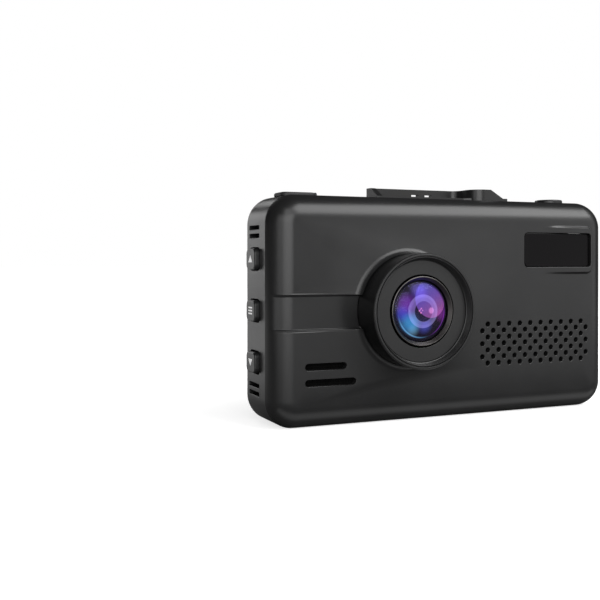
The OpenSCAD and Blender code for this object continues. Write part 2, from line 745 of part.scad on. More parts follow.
front_shell();
lens_hood();
lens_face_plate();
lens_trim_ring();
lens_barrel();
front_glass();
middle_element();
rear_element();
lens_lock_ring();
lens_holder();
ir_filter();
image_sensor();
sensor_board();
sensor_screws();
laser_window();
laser_housing();
laser_lens();
laser_sensor();
speaker_mesh();
vent_mesh();
speaker_basket();
speaker_cone();
speaker_magnet();
horn_antenna();
radar_board();
gps_antenna();
gps_board();
main_board();
board_screws();
processor();
heat_spreader();
memory_chip();
supercapacitors();
board_connectors();
microsd_socket();
usb_socket();
usb_board();
power_board();
tact_switches();
button_boards();
button_up();
button_menu();
button_down();
button_mute();
button_ok();
button_save();
power_button();
port_cover();
mount_bracket();
contact_block();
contact_pads();
rear_cover();
case_screws();
screen_window();
window_tape();
lcd_panel();
lcd_backlight();
lcd_frame();
lcd_ribbon();
microphone();
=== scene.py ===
import json
import math

import bmesh
import bpy
import numpy as np
from mathutils import Matrix, Vector
from mathutils.geometry import delaunay_2d_cdt


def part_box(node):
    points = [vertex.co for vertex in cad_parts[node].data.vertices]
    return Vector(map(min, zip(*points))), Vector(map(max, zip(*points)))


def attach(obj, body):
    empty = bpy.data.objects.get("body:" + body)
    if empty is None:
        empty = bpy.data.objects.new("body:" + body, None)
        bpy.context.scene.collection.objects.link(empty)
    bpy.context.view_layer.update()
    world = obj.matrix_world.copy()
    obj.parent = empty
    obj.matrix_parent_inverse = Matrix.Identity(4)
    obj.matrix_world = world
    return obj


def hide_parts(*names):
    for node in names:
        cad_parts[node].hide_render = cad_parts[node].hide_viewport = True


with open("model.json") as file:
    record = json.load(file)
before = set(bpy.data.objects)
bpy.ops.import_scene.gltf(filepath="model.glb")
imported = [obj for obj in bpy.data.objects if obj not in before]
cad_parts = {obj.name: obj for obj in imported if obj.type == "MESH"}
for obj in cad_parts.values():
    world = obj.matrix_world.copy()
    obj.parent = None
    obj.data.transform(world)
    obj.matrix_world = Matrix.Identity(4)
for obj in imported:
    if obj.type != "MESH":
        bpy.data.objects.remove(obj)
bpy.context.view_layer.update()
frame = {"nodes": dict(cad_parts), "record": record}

# Shapes are worked out in millimetres in the row's frame: +X right, lens towards -Y, +Z up.
MM = 0.001
HOUSING = "housing"


def box_mm(node):
    lo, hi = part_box(node)
    return np.array(lo) / MM, np.array(hi) / MM


# ---------- driving sizes, read from the CAD model ----------

shell_lo, shell_hi = box_mm("front_shell")
BODY_W = shell_hi[0] - shell_lo[0]
BODY_H = shell_hi[2] - shell_lo[2]
MID_Z = BODY_H / 2
PANEL_Y = box_mm("laser_window")[0][1]
RIM_Y = shell_hi[1]
CORNER_R = 7.0
WALL = 1.8
ROLL_W = 5.95                      # width of the rolled front edge
ROLL_TURN = math.radians(80)       # how far it turns before the crease with the side
CORNER_STEPS = 14
hood_lo, hood_hi = box_mm("lens_hood")
LENS_X = (hood_lo[0] + hood_hi[0]) / 2
LENS_Z = (hood_lo[2] + hood_hi[2]) / 2
HOOD_Y = hood_lo[1]
HOOD_R = 13.75
FLARE_R = 1.8


# ---------- mesh tools ----------

def unit(v):
    return v / np.maximum(np.linalg.norm(v, axis=-1, keepdims=True), 1e-12)


def add_object(name, data):
    obj = bpy.data.objects.new(name, data)
    bpy.context.scene.collection.objects.link(obj)
    return obj


class Skin:
    """A mesh of patches: smooth inside each patch, creased where two patches meet."""

    def __init__(self):
        self.index = {}
        self.verts = []
        self.faces = []
        self.normals = []

    def vert(self, p):
        key = tuple(int(round(c * 2e4)) for c in p)
        if key not in self.index:
            self.index[key] = len(self.verts)
            self.verts.append([float(c) for c in p])
        return self.index[key]

    def face(self, points, normals):
        ids, kept = [], []
        for p, n in zip(points, normals):
            i = self.vert(p)
            if i not in ids:
                ids.append(i)
                kept.append(n)
        if len(ids) > 2:
            self.faces.append(ids)
            self.normals.extend(kept)

    def grid(self, rows, around=True):
        """Quads between rows of points; the rows are closed loops when around is true."""
        g = np.array(rows, float)
        if around:
            g = np.concatenate([g, g[:, :1]], axis=1)
        a, b, c, d = g[:-1, :-1], g[1:, :-1], g[1:, 1:], g[:-1, 1:]
        flat = np.cross(c - a, d - b)
        n = np.zeros_like(g)
        n[:-1, :-1] += flat
        n[1:, :-1] += flat
        n[1:, 1:] += flat
        n[:-1, 1:] += flat
        if around:
            n[:, 0] += n[:, -1]
            n[:, -1] = n[:, 0]
        n = unit(n)
        for i in range(g.shape[0] - 1):
            for j in range(g.shape[1] - 1):
                at = [(i, j), (i + 1, j), (i + 1, j + 1), (i, j + 1)]
                self.face([g[k] for k in at], [n[k] for k in at])

    def strips(self, rows, around=True, limit=32):
        """A grid that is creased wherever the rows turn by more than limit degrees."""
        g = np.array(rows, float)
        step = unit(g[1:] - g[:-1])
        bend = np.einsum("ijk,ijk->ij", step[1:], step[:-1]).min(axis=1)
        start = 0
        for i, cosine in enumerate(bend):
            if cosine < math.cos(math.radians(limit)):
                self.grid(g[start:i + 2], around)
                start = i + 1
        self.grid(g[start:], around)

    def lid(self, loop, flip=False):
        """A flat face over a loop."""
        pts = [np.array(p, float) for p in loop]
        centre = sum(pts) / len(pts)
        n = sum(np.cross(pts[i] - centre, pts[(i + 1) % len(pts)] - centre) for i in range(len(pts)))
        n = unit(n)
        if flip:
            pts, n = pts[::-1], -n
        self.face(pts, [n] * len(pts))

    def sheet(self, tris, points, normals, flip=False):
        for t in tris:
            t = t[::-1] if flip else t
            self.face([points[i] for i in t], [normals[i] for i in t])

    def build(self, name):
        v = np.array(self.verts)
        volume = 0.0
        for f in self.faces:
            for k in range(1, len(f) - 1):
                volume += np.dot(v[f[0]], np.cross(v[f[k]], v[f[k + 1]]))
        faces, normals = self.faces, self.normals
        if volume < 0:
            faces, flipped, at = [f[::-1] for f in faces], [], 0
            for f in self.faces:
                flipped.extend([-np.array(n) for n in normals[at:at + len(f)]][::-1])
                at += len(f)
            normals = flipped
        mesh = bpy.data.meshes.new(name)
        mesh.from_pydata((v * MM).tolist(), [], faces)
        mesh.polygons.foreach_set("use_smooth", [True] * len(mesh.polygons))
        mesh.normals_split_custom_set([tuple(n) for n in normals])
        return add_object(name, mesh)


def filleted(corners, closed=False, steps=4):
    """A polyline through corners given as (a, b, radius), with its corners rounded."""
    pts = [np.array(c[:2], float) for c in corners]
    out = []
    for i, c in enumerate(corners):
        p, r = pts[i], (c[2] if len(c) > 2 else 0)
        if r == 0 or (not closed and i in (0, len(corners) - 1)):
            out.append(p)
            continue
        a, b = pts[i - 1], pts[(i + 1) % len(pts)]
        u, v = unit(a - p), unit(b - p)
        half = math.acos(max(-1, min(1, float(np.dot(u, v))))) / 2
        reach = min(r / math.tan(half), 0.49 * np.linalg.norm(a - p), 0.49 * np.linalg.norm(b - p))
        r = reach * math.tan(half)
        centre = p + unit(u + v) * r / math.sin(half)
        s, e = p + u * reach - centre, p + v * reach - centre
        sweep = math.pi - 2 * half
        side = math.copysign(1, s[0] * e[1] - s[1] * e[0])
        for k in range(steps + 1):
            t = side * sweep * k / steps
            out.append(centre + np.array([s[0] * math.cos(t) - s[1] * math.sin(t),
                                          s[0] * math.sin(t) + s[1] * math.cos(t)]))
    return out


def ring_loop(r, count, start=0.0):
    """Points of a circle as (a, b), anticlockwise."""
    t = start + np.arange(count) * 2 * math.pi / count
    return np.stack([r * np.cos(t), r * np.sin(t)], axis=1)


def rect_loop(w, h, r, steps=5):
    """Points of a rounded rectangle as (a, b), anticlockwise."""
    out = []
    for k, (sx, sy) in enumerate([(1, 1), (-1, 1), (-1, -1), (1, -1)]):
        for i in range(steps + 1):
            t = math.pi / 2 * (k + i / steps)
            out.append((sx * (w / 2 - r) + r * math.cos(t), sy * (h / 2 - r) + r * math.sin(t)))
    return np.array(out)


def turned(name, profile, count=96, closed=True):
    """A piece made by turning a profile of (radius, y) about the lens axis."""
    skin = Skin()
    profile = list(profile) + ([profile[0]] if closed else [])
    skin.strips([[(LENS_X + r * c, y, LENS_Z + r * s) for c, s in ring_loop(1, count)] for r, y in profile])
    return skin.build(name)


def tower(name, rows, place, steps=5, limit=32):
    """A piece of stacked rounded rectangles (w, h, r, height), closed at both ends."""
    skin = Skin()
    loops = [[place(a, b, c) for a, b in rect_loop(w, h, r, steps)] for w, h, r, c in rows]
    skin.strips(loops, limit=limit)
    skin.lid(loops[0])
    skin.lid(loops[-1], flip=True)
    return skin.build(name)


def soft_edge(w, h, r, height, soft, shrink, count, up=1):
    """Rows for tower() that round its edge over, from its side to its top."""
    rows = []
    for t in np.linspace(0, math.pi / 2, count):
        inset = soft * (1 - math.cos(t))
        rows.append((w - 2 * inset, h - 2 * inset, r - inset * shrink, height + up * soft * math.sin(t)))
    return rows


def inside(points, loop):
    """Which of the points lie inside a closed loop."""
    px, py = points[:, 0], points[:, 1]
    hit = np.zeros(len(points), bool)
    for (x0, y0), (x1, y1) in zip(loop, np.roll(loop, -1, axis=0)):
        cross = (y0 > py) != (y1 > py)
        with np.errstate(divide="ignore", invalid="ignore"):
            hit ^= cross & (px < (x1 - x0) * (py - y0) / (y1 - y0) + x0)
    return hit


def around_box(line, lo, hi):
    """The parts of a polyline that lie outside a box, as separate polylines."""
    parts, current = [], [np.array(line[0], float)]
    for a, b in zip(line[:-1], line[1:]):
        a, b = np.array(a, float), np.array(b, float)
        t0, t1 = 0.0, 1.0
        for k in (0, 1):
            step = b[k] - a[k]
            if abs(step) < 1e-9:
                if not lo[k] < a[k] < hi[k]:
                    t0, t1 = 1.0, 0.0
                continue
            near, far = sorted(((lo[k] - a[k]) / step, (hi[k] - a[k]) / step))
            t0, t1 = max(t0, near), min(t1, far)
        if t0 < t1:
            if t0 > 1e-6:
                current.append(a + (b - a) * t0)
            if len(current) > 1:
                parts.append(current)
            current = [a + (b - a) * t1]
            if t1 < 1 - 1e-6:
                current.append(b)
        else:
            current.append(b)
    if len(current) > 1:
        parts.append(current)
    return parts


def flat_mesh(outer, holes=(), lines=()):
    """Triangles that fill outer except the holes, with edges along every line."""
    pts, edges = [], []

    def add(loop, closed):
        start = len(pts)
        pts.extend(tuple(map(float, p)) for p in loop)
        n = len(loop)
        edges.extend((start + i, start + (i + 1) % n) for i in range(n if closed else n - 1))

    add(outer, True)
    for h in holes:
        add(h, True)
    for line in lines:
        add(line, False)
    found, _, faces, origins, _, _ = delaunay_2d_cdt([Vector(p) for p in pts], edges, [], 0, 1e-5)
    where = np.array([pts[o[0]] if o else tuple(v) for v, o in zip(found, origins)])
    tris = np.array(faces)
    middle = where[tris].mean(axis=1)
    keep = inside(middle, np.array(outer))
    for h in holes:
        keep &= ~inside(middle, np.array(h))
    return where, tris[keep]


# ---------- the outline that both shells follow ----------

class Outline:
    """Points round the body's front outline, each a foot and an outward direction."""

    def __init__(self, w, h, r, left_zs=()):
        self.r, self.cx, self.cz = r, w / 2 - r, h / 2 - r
        self.arc = r * math.pi / 2
        self.length = 4 * self.arc + 4 * (self.cx + self.cz)
        self.starts = [0, self.arc + 2 * self.cx, 2 * self.arc + 2 * (self.cx + self.cz),
                       3 * self.arc + 4 * self.cx + 2 * self.cz]
        stops = []
        for start in self.starts:
            stops += [start + self.arc * i / CORNER_STEPS for i in range(CORNER_STEPS + 1)]
        left = self.starts[1] + self.arc
        stops += [left + (self.cz - (z - MID_Z)) for z in left_zs]
        self.stops = sorted(stops)

    def at(self, s):
        """Foot and outward direction, as (x, z) pairs, at a distance round the outline."""
        s = s % self.length
        centres = [(self.cx, self.cz), (-self.cx, self.cz), (-self.cx, -self.cz), (self.cx, -self.cz)]
        for k in (3, 2, 1, 0):
            if s >= self.starts[k] - 1e-9:
                break
        past = s - self.starts[k]
        turn = min(past / self.arc, 1) * math.pi / 2 + k * math.pi / 2
        out = np.array([math.cos(turn), math.sin(turn)])
        run = max(past - self.arc, 0)
        along = np.array([-out[1], out[0]])
        return np.array(centres[k]) + along * run, out

    def point(self, s, inset, y):
        foot, out = self.at(s)
        p = foot + out * (self.r - inset)
        return np.array([p[0], y, p[1] + MID_Z])

    def ring(self, inset, y):
        return [self.point(s, inset, y) for s in self.stops]


# ---------- features of the front ----------

BAND_Z = (23.8, 31.8)              # shallow band from the left edge to the lens
BAND_DROP = 0.42
BAND_SOFT = 0.24                   # half the width of its rounded edges
BAND_LINES = [-2.8, -2.3, -1.9, -1.5, -1.1, -0.6, -0.3, 0, 0.3, 0.6, 1, 1.3, 1.6, 1.9, 2.3, 2.8]
BAND_BEAD = 0.1                    # height of the fine bead along the top edge
POD_X = (27.0, 44.1)               # ramp round the laser window, flush at its left end
POD_Z = (36.8, 49.2)
POD_R = 2.2
POD_RISE = 0.78
POD_SOFT = 0.35
PANEL_INSET = 3.6                  # where the panel's mesh meets the rolled edge's
ROLL_R = ROLL_W / math.sin(ROLL_TURN)
HOLE_CHAMFER = 0.12
INNER_ROLL = 3.2                   # radius inside the rolled edge
band_zs = [z + BAND_SOFT * k for z in BAND_Z for k in BAND_LINES]
body = Outline(BODY_W, BODY_H, CORNER_R, band_zs)


def ease(t):
    t = np.clip(t, 0, 1)
    return t * t * (3 - 2 * t)


def rounded_distance(x, z, cx, cz, w, h, r):
    """Signed distance from a rounded rectangle's edge, negative inside."""
    qx = np.abs(x - cx) - (w / 2 - r)
    qz = np.abs(z - cz) - (h / 2 - r)
    return np.hypot(np.maximum(qx, 0), np.maximum(qz, 0)) + np.minimum(np.maximum(qx, qz), 0) - r


def roll_drop(inset):
    """How far the rolled edge has fallen behind the panel, by distance from the side."""
    t = np.clip(ROLL_W - inset, 0, ROLL_W)
    return ROLL_R - np.sqrt(ROLL_R ** 2 - t ** 2)


def band_depth(x, z, inset):
    """Share of the band's full depth; it fades out along the rolled edge."""
    low, high = ((z - BAND_Z[0]) / BAND_SOFT + 1) / 2, ((BAND_Z[1] - z) / BAND_SOFT + 1) / 2
    edge = ease(low) * ease(high)
    return edge * ease((inset - 0.4) / 2.2) * (x < LENS_X)


def fine_ridge(x, z, inset, at, half):
    """A fine rounded ridge along the band, 1 on its crest."""
    return ease(1 - np.abs(z - at) / half) * ease((inset - 0.4) / 2.2) * (x < LENS_X)


def front_y(x, z):
    """The front surface, as Y over (x, z)."""
    x, z = np.asarray(x, float), np.asarray(z, float)
    inset = -rounded_distance(x, z, 0, MID_Z, BODY_W, BODY_H, CORNER_R)
    band = band_depth(x, z, inset)
    r = np.hypot(x - LENS_X, z - LENS_Z)
    t = np.clip((HOOD_R + 0.1 + FLARE_R - r) / FLARE_R, 0, 0.995)
    flare = FLARE_R * (1 - np.sqrt(1 - t ** 2))
    pod_d = rounded_distance(x, z, sum(POD_X) / 2 - 4, sum(POD_Z) / 2, POD_X[1] - POD_X[0] + 8,
                             POD_Z[1] - POD_Z[0], POD_R)
    pod = POD_RISE * ease((x - POD_X[0]) / 12) * ease(0.5 - pod_d / (2 * POD_SOFT))
    upper = fine_ridge(x, z, inset, BAND_Z[1] + 1.6 * BAND_SOFT, BAND_SOFT)
    lower = fine_ridge(x, z, inset, BAND_Z[0] - 1.5 * BAND_SOFT, 1.1 * BAND_SOFT)
    ridge = (upper - 1.6 * lower) * BAND_BEAD * (flare < 0.02)
    return PANEL_Y + roll_drop(inset) - (1 - band) * flare - pod + band * BAND_DROP - ridge


def front_normal(x, z):
    e = 0.004
    gx = (front_y(x + e, z) - front_y(x - e, z)) / (2 * e)
    gz = (front_y(x, z + e) - front_y(x, z - e)) / (2 * e)
    return unit(np.stack([gx, -np.ones_like(gx), gz], axis=-1))


# Openings in the front, as loops of (x, z) at their nominal size.
GRILLE_MID = (25.15, 18.7)
GRILLE_PITCH = 3.35
GRILLE_R = 0.65
GRILLE_ROWS, GRILLE_COUNT = 7, 11
win_lo, win_hi = box_mm("laser_window")
WINDOW_X = (win_lo[0] + 0.8, win_hi[0])
WINDOW_Z = (38.5, 47.4)
WINDOW_GAP = 0.08
window_mid = (sum(WINDOW_X) / 2, sum(WINDOW_Z) / 2)
SLOT_H = 1.6
SLOTS = ((-41.2, -30.4, 15), (-41.2, -27.9, 11.2))      # ends in x, and height


def dense(loop, parts):
    """The same loop with its long sides cut into equal parts."""
    out = []
    for a, b in zip(loop, np.roll(loop, -1, axis=0)):
        count = parts if np.linalg.norm(b - a) > 3 else 1
        out += [a + (b - a) * i / count for i in range(count)]
    return np.array(out)


def shifted(loop, x, z):
    return np.array(loop) + np.array([x, z])


def slot_loop(x0, x1, z, grow=0.0):
    h = SLOT_H + 2 * grow
    return shifted(rect_loop(x1 - x0 + 2 * grow, h, h / 2 - 1e-3, 8), (x0 + x1) / 2, z)


def grille_centres():
    for row in range(-(GRILLE_ROWS // 2), GRILLE_ROWS // 2 + 1):
        count = GRILLE_COUNT - abs(row) % 2
        for i in range(count):
            yield (GRILLE_MID[0] + (i - (count - 1) / 2) * GRILLE_PITCH, GRILLE_MID[1] + row * GRILLE_PITCH / 2)


def front_openings(grow):
    """Every opening's loop, larger all round by grow."""
    loops = [shifted(ring_loop(GRILLE_R + grow, 20), x, z) for x, z in grille_centres()]
    loops += [slot_loop(*slot, grow) for slot in SLOTS]
    w, h = (hi - lo + 2 * (WINDOW_GAP + grow) for lo, hi in (WINDOW_X, WINDOW_Z))
    loops.append(dense(shifted(rect_loop(w, h, 1 + grow, 5), *window_mid), 15))
    return loops


# Openings in the sides, as loops of (distance round the outline, y).
KEYS = {-1: ("button_up", "button_menu", "button_down"), 1: ("button_mute", "button_ok", "button_save")}
cap_boxes = {name: box_mm(name) for side in KEYS for name in KEYS[side]}
CAP_L, CAP_H, CAP_R = 6.2, 5.1, 1.3
CAP_GAPS = (0.7, 0.5)              # room along and across the cap, both sides together
POWER_GAP = 0.25
VENT_H, VENT_R = 1.0, 0.25
VENT_ZS = (48.2, 46.2, 9.8, 7.8)
VENT_Y = (-3.05, 3.85)
POWER_R = 3.75
power_lo, power_hi = box_mm("power_button")
POWER_X = (power_lo[0] + power_hi[0]) / 2
PORT_X, PORT_L = -39.0, 9.2
PORT_MOUTH = (8.4, 3.4)
CARD_X, CARD_Y, CARD_MOUTH = -16.0, -0.65, (12.0, 1.3)


def round_at(side, z):
    """Distance round the outline of a height on the right (+1) or left (-1) side."""
    target = z - MID_Z
    if abs(target) <= body.cz:
        if side > 0:
            return body.starts[3] + body.arc + target + body.cz
        return body.starts[1] + body.arc + body.cz - target
    turn = math.asin((abs(target) - body.cz) / body.r) * body.r
    if side > 0:
        return turn if target > 0 else body.length - body.cz * 2 - turn
    return body.starts[1] + body.arc - turn if target > 0 else body.starts[2] + turn


def side_openings(grow):
    loops = []
    for side in (1, -1):
        for name in KEYS[side]:
            z = (cap_boxes[name][0][2] + cap_boxes[name][1][2]) / 2
            w, h = CAP_L + CAP_GAPS[0] + 2 * grow, CAP_H + CAP_GAPS[1] + 2 * grow
            loop = rect_loop(w, h, CAP_R + grow, 5)[:, ::-1]
            loops.append(shifted(loop, round_at(side, z), 0)[::-1])
        for z in VENT_ZS:
            loop = rect_loop(VENT_H + 2 * grow, VENT_Y[1] - VENT_Y[0] + 2 * grow, VENT_R + grow, 3)
            loops.append(shifted(loop, round_at(side, z), sum(VENT_Y) / 2))
    top = body.arc + body.cx
    loops.append(shifted(ring_loop(POWER_R + POWER_GAP + grow, 40), top - POWER_X, 0))
    bottom = body.starts[2] + body.arc + body.cx
    for (w, h), r, steps, place in ((PORT_MOUTH, 0.8, 4, (top - PORT_X, 0)),
                                    (CARD_MOUTH, 0.2, 3, (bottom - CARD_X, CARD_Y))):
        loops.append(shifted(rect_loop(w + 2 * grow, h + 2 * grow, r + grow, steps), *place))
    return loops


MOUTH_R = HOOD_R + 0.15            # opening for the lens hood
lens_mouth = shifted(ring_loop(MOUTH_R, 96), LENS_X, LENS_Z)
FLAT_Y = PANEL_Y + WALL            # back of the front wall
RIM_START = RIM_Y - 0.55
RIM_IN = RIM_Y - 0.2


def flat_ring(inset):
    """The outline at an inset, as (x, z)."""
    return np.array(body.ring(inset, 0))[:, [0, 2]]


def on_front(loop):
    """A loop of (x, z) laid on the front surface."""
    return np.stack([loop[:, 0], front_y(loop[:, 0], loop[:, 1]), loop[:, 1]], axis=1)


def looped(loop):
    return np.vstack([loop, loop[:1]])


def front_panel(skin):
    """The panel with everything that rises from it or sinks into it."""
    far = BODY_W / 2
    lines = [[(-far + PANEL_INSET, z), (LENS_X - math.sqrt((MOUTH_R + 0.02) ** 2 - (z - LENS_Z) ** 2), z)]
             for z in band_zs]
    for k in range(1, 9):
        turn = math.radians(88 - 9.7 * k)
        grown = MOUTH_R + FLARE_R * (1 - math.sin(turn)) * 0.98
        lines.append(looped(shifted(ring_loop(grown, 96), LENS_X, LENS_Z)))
    for k in (-1.3, -1, -0.6, -0.3, 0, 0.3, 0.6, 1, 1.3):
        grow = POD_SOFT * k
        loop = rect_loop(POD_X[1] - POD_X[0] + 2 * grow, POD_Z[1] - POD_Z[0] + 2 * grow, POD_R + grow, 7)
        lines.append(looped(shifted(loop, sum(POD_X) / 2, sum(POD_Z) / 2)))
    for x in np.arange(POD_X[0], POD_X[1], 1.4):
        lines.append([(x, POD_Z[0] - 0.5), (x, POD_Z[1] + 0.5)])
    for inset in np.arange(PANEL_INSET + 0.4, ROLL_W + 0.05, 0.4):
        lines.append(looped(flat_ring(inset)))
    clear = 0.3
    lines = [part for line in lines
             for part in around_box(line, (WINDOW_X[0] - clear, WINDOW_Z[0] - clear),
                                    (WINDOW_X[1] + clear, WINDOW_Z[1] + clear))]
    where, tris = flat_mesh(flat_ring(PANEL_INSET), front_openings(HOLE_CHAMFER) + [lens_mouth], lines)
    skin.sheet(tris, on_front(where), front_normal(where[:, 0], where[:, 1]))


def rolled_edge(skin):
    """From the panel's mesh to the crease with the side, whose y it returns."""
    insets = list(np.linspace(PANEL_INSET, 0.9, 10)) + [0.6, 0.35, 0.15, 0]
    rows = [on_front(flat_ring(inset)) for inset in insets]
    skin.grid(rows)
    return rows[-1][0][1]


def side_wall(skin, depth, y0, y1, grow):
    """One face of the sides, unrolled: distance round the outline against y."""
    edge = [(s, y0) for s in body.stops] + [(body.length, y0)]
    back = [(s, y1) for s in body.stops] + [(body.length, y1)]
    columns = [[(s, y0), (s, y1)] for s in body.stops[1:]]
    for loop in side_openings(grow):
        lo, hi = loop.min(axis=0) - 0.15, loop.max(axis=0) + 0.15
        columns = [part for line in columns for part in around_box(line, lo, hi)]
    where, tris = flat_mesh(edge + back[::-1], side_openings(grow), columns)
    points = [body.point(s, depth, y) for s, y in where]
    outs = [body.at(s)[1] for s, _ in where]
    normals = [np.array([o[0], 0, o[1]]) * (1 if depth == 0 else -1) for o in outs]
    skin.sheet(tris, points, normals, flip=depth == 0)


def rear_rim(skin):
    """Rounded outside, and falling into the groove before the rear cover."""
    rim = [(0, RIM_START), (0.05, RIM_START + 0.2), (0.2, RIM_START + 0.38), (0.42, RIM_START + 0.46),
           (1.0, RIM_Y - 0.03), (1.55, RIM_Y), (1.7, RIM_Y - 0.03), (WALL, RIM_IN)]
    skin.strips([body.ring(i, y) for i, y in rim])


def front_inside(skin):
    """The back of the front wall and the curve into the sides."""
    where, tris = flat_mesh(flat_ring(WALL + INNER_ROLL), front_openings(0) + [lens_mouth])
    skin.sheet(tris, [(a, FLAT_Y, b) for a, b in where], [(0, 1, 0)] * len(where), flip=True)
    rows = [body.ring(WALL + INNER_ROLL * (1 - math.sin(t)), FLAT_Y + INNER_ROLL * (1 - math.cos(t)))
            for t in np.linspace(0, math.pi / 2, 9)]
    skin.grid([r[::-1] for r in rows])


def opening_walls(skin):
    """The chamfer and the wall of every opening."""
    for wide, snug in zip(front_openings(HOLE_CHAMFER), front_openings(0)):
        between = snug * 0.75 + wide * 0.25
        top = front_y(wide[:, 0], wide[:, 1])
        levels = [(wide, top), (between, top + HOLE_CHAMFER * 0.45), (snug, top + HOLE_CHAMFER * 1.3),
                  (snug, top * 0 + FLAT_Y)]
        skin.grid([np.stack([loop[:, 0], y, loop[:, 1]], axis=1)[::-1] for loop, y in levels])
    top = front_y(lens_mouth[:, 0], lens_mouth[:, 1])
    skin.grid([np.stack([lens_mouth[:, 0], y, lens_mouth[:, 1]], axis=1)[::-1]
               for y in (top, top * 0 + FLAT_Y)])
    for wide, snug in zip(side_openings(HOLE_CHAMFER), side_openings(0)):
        between = snug * 0.75 + wide * 0.25
        levels = [(wide, 0), (between, HOLE_CHAMFER * 0.45), (snug, HOLE_CHAMFER * 1.3), (snug, WALL)]
        skin.grid([[body.point(s, depth, y) for s, y in loop] for loop, depth in levels])


def front_shell():
    """Outer skin, inner skin, rim and the walls of every opening, as one closed mesh."""
    skin = Skin()
    front_panel(skin)
    crease_y = rolled_edge(skin)
    side_wall(skin, 0, crease_y, RIM_START, HOLE_CHAMFER)
    side_wall(skin, WALL, FLAT_Y + INNER_ROLL, RIM_IN, 0)
    rear_rim(skin)
    front_inside(skin)
    opening_walls(skin)
    return skin.build("front_shell_skin")


# ---------- rear cover and screen ----------

cover_hi = box_mm("rear_cover")[1]
plate_lo, plate_hi = box_mm("screen_window")
lcd_lo, lcd_hi = box_mm("lcd_panel")
REAR_Y = plate_hi[1]
SEAT_Y = plate_lo[1]
PLATE_W, PLATE_H = plate_hi[0] - plate_lo[0], plate_hi[2] - plate_lo[2]
ACTIVE_W, ACTIVE_H = 66.4, 37.4
LCD_Z = (lcd_lo[2] + lcd_hi[2]) / 2
MIC = (41.0, 22.4)
COVER_INSET = BODY_W / 2 - cover_hi[0]
plain = Outline(BODY_W, BODY_H, CORNER_R)


def rear_cover():
    """A lipped frame with a full curve up to the screen plate."""
    skin = Skin()
    start = COVER_INSET
    edge = filleted([(start + 1.2, 4.65), (start, 4.65), (start, 6.25, 0.22), (start + 0.25, 6.4)], steps=3)
    crown = [(start + 0.25 + 3.0 * t, 6.4 + 1.74 * math.sin(t * math.pi / 2) ** 0.82)
             for t in np.linspace(0, 1, 12)[1:]]
    rows = [plain.ring(i, y) for i, y in edge + crown]
    steps = CORNER_STEPS

    def recess(grow, y, r=2.35):
        loop = rect_loop(PLATE_W + 0.3 + 2 * grow, PLATE_H + 0.3 + 2 * grow, r + grow, steps)
        return [(a, y, b + MID_Z) for a, b in loop]

    rows += [recess(0.12, REAR_Y - 0.04), recess(0.03, REAR_Y - 0.1), recess(0, REAR_Y - 0.25),
             recess(0, SEAT_Y - 0.15)]
    opening = rect_loop(lcd_hi[0] - lcd_lo[0] + 0.4, lcd_hi[2] - lcd_lo[2] + 0.4, 0.4, steps)
    rows += [[(a, y, b + LCD_Z) for a, b in opening] for y in (SEAT_Y - 0.15, 5.8)]
    rows += [plain.ring(start + 1.2, 5.8), rows[0]]
    skin.strips(rows, limit=28)
    return skin.build("rear_cover_skin")


def screen_window():
    """Cover plate with a crisp edge, an opening for the display and a microphone slot."""
    skin = Skin()

    def laid(loop, y):
        return [(a, y, b + MID_Z) for a, b in loop]

    front, back = [rect_loop(PLATE_W - less, PLATE_H - less, r, 8) for less, r in ((0.24, 2.08), (0, 2.2))]
    bevel = rect_loop(PLATE_W - 0.07, PLATE_H - 0.07, 2.17, 8)
    skin.strips([laid(front, REAR_Y), laid(bevel, REAR_Y - 0.04), laid(back, REAR_Y - 0.14),
                 laid(back, SEAT_Y)])
    lit = shifted(rect_loop(ACTIVE_W, ACTIVE_H, 0.35, 3), 0, LCD_Z - MID_Z)
    mic = shifted(rect_loop(1.9, 4.6, 0.94, 8), MIC[0], MIC[1] - MID_Z)
    for y, edge, out in ((REAR_Y, front, 1), (SEAT_Y, back, -1)):
        where, tris = flat_mesh(edge, [lit, mic])
        skin.sheet(tris, laid(where, y), [(0, out, 0)] * len(where), flip=out < 0)
    for loop in (lit, mic):
        skin.grid([laid(loop, SEAT_Y), laid(loop, REAR_Y)])
    return skin.build("screen_plate")


def rear_place(a, b, c):
    """Screen coordinates, as seen from behind: a to the viewer's right, b up, c towards the viewer."""
    return np.array([-a, c, b])


def display_face():
    lit = (ACTIVE_W - 0.06, ACTIVE_H - 0.06, 0.3)
    glass = (ACTIVE_W + 2, ACTIVE_H + 2, 0.3)
    rows = [(*glass, 7.32), (*glass, 7.5), (*lit, 7.5), (*lit, REAR_Y - 0.16)]
    return tower("display_face", rows, lambda a, b, c: rear_place(a, b + LCD_Z, c))


def mic_felt():
    rows = [(2.6, 5.2, 1.2, SEAT_Y - 0.12), (2.6, 5.2, 1.2, SEAT_Y - 0.02), (1.8, 4.5, 0.88, SEAT_Y + 0.02),
            (1.8, 4.5, 0.88, SEAT_Y + 0.3), (1.5, 4.2, 0.74, SEAT_Y + 0.36)]
    return tower("mic_felt", rows, lambda a, b, c: rear_place(a - MIC[0], b + MIC[1], c), steps=8)


# ---------- screen picture: flat tiles a hair above the display face ----------

FACE_Y = REAR_Y - 0.16
TILE_T = 0.02
SCREEN_LEFT, SCREEN_TOP = -ACTIVE_W / 2, LCD_Z + ACTIVE_H / 2


def anticlockwise(loop):
    loop = np.array(loop, float)
    ahead = np.roll(loop, -1, axis=0)
    area = (loop[:, 0] * ahead[:, 1] - ahead[:, 0] * loop[:, 1]).sum()
    return loop if area > 0 else loop[::-1]


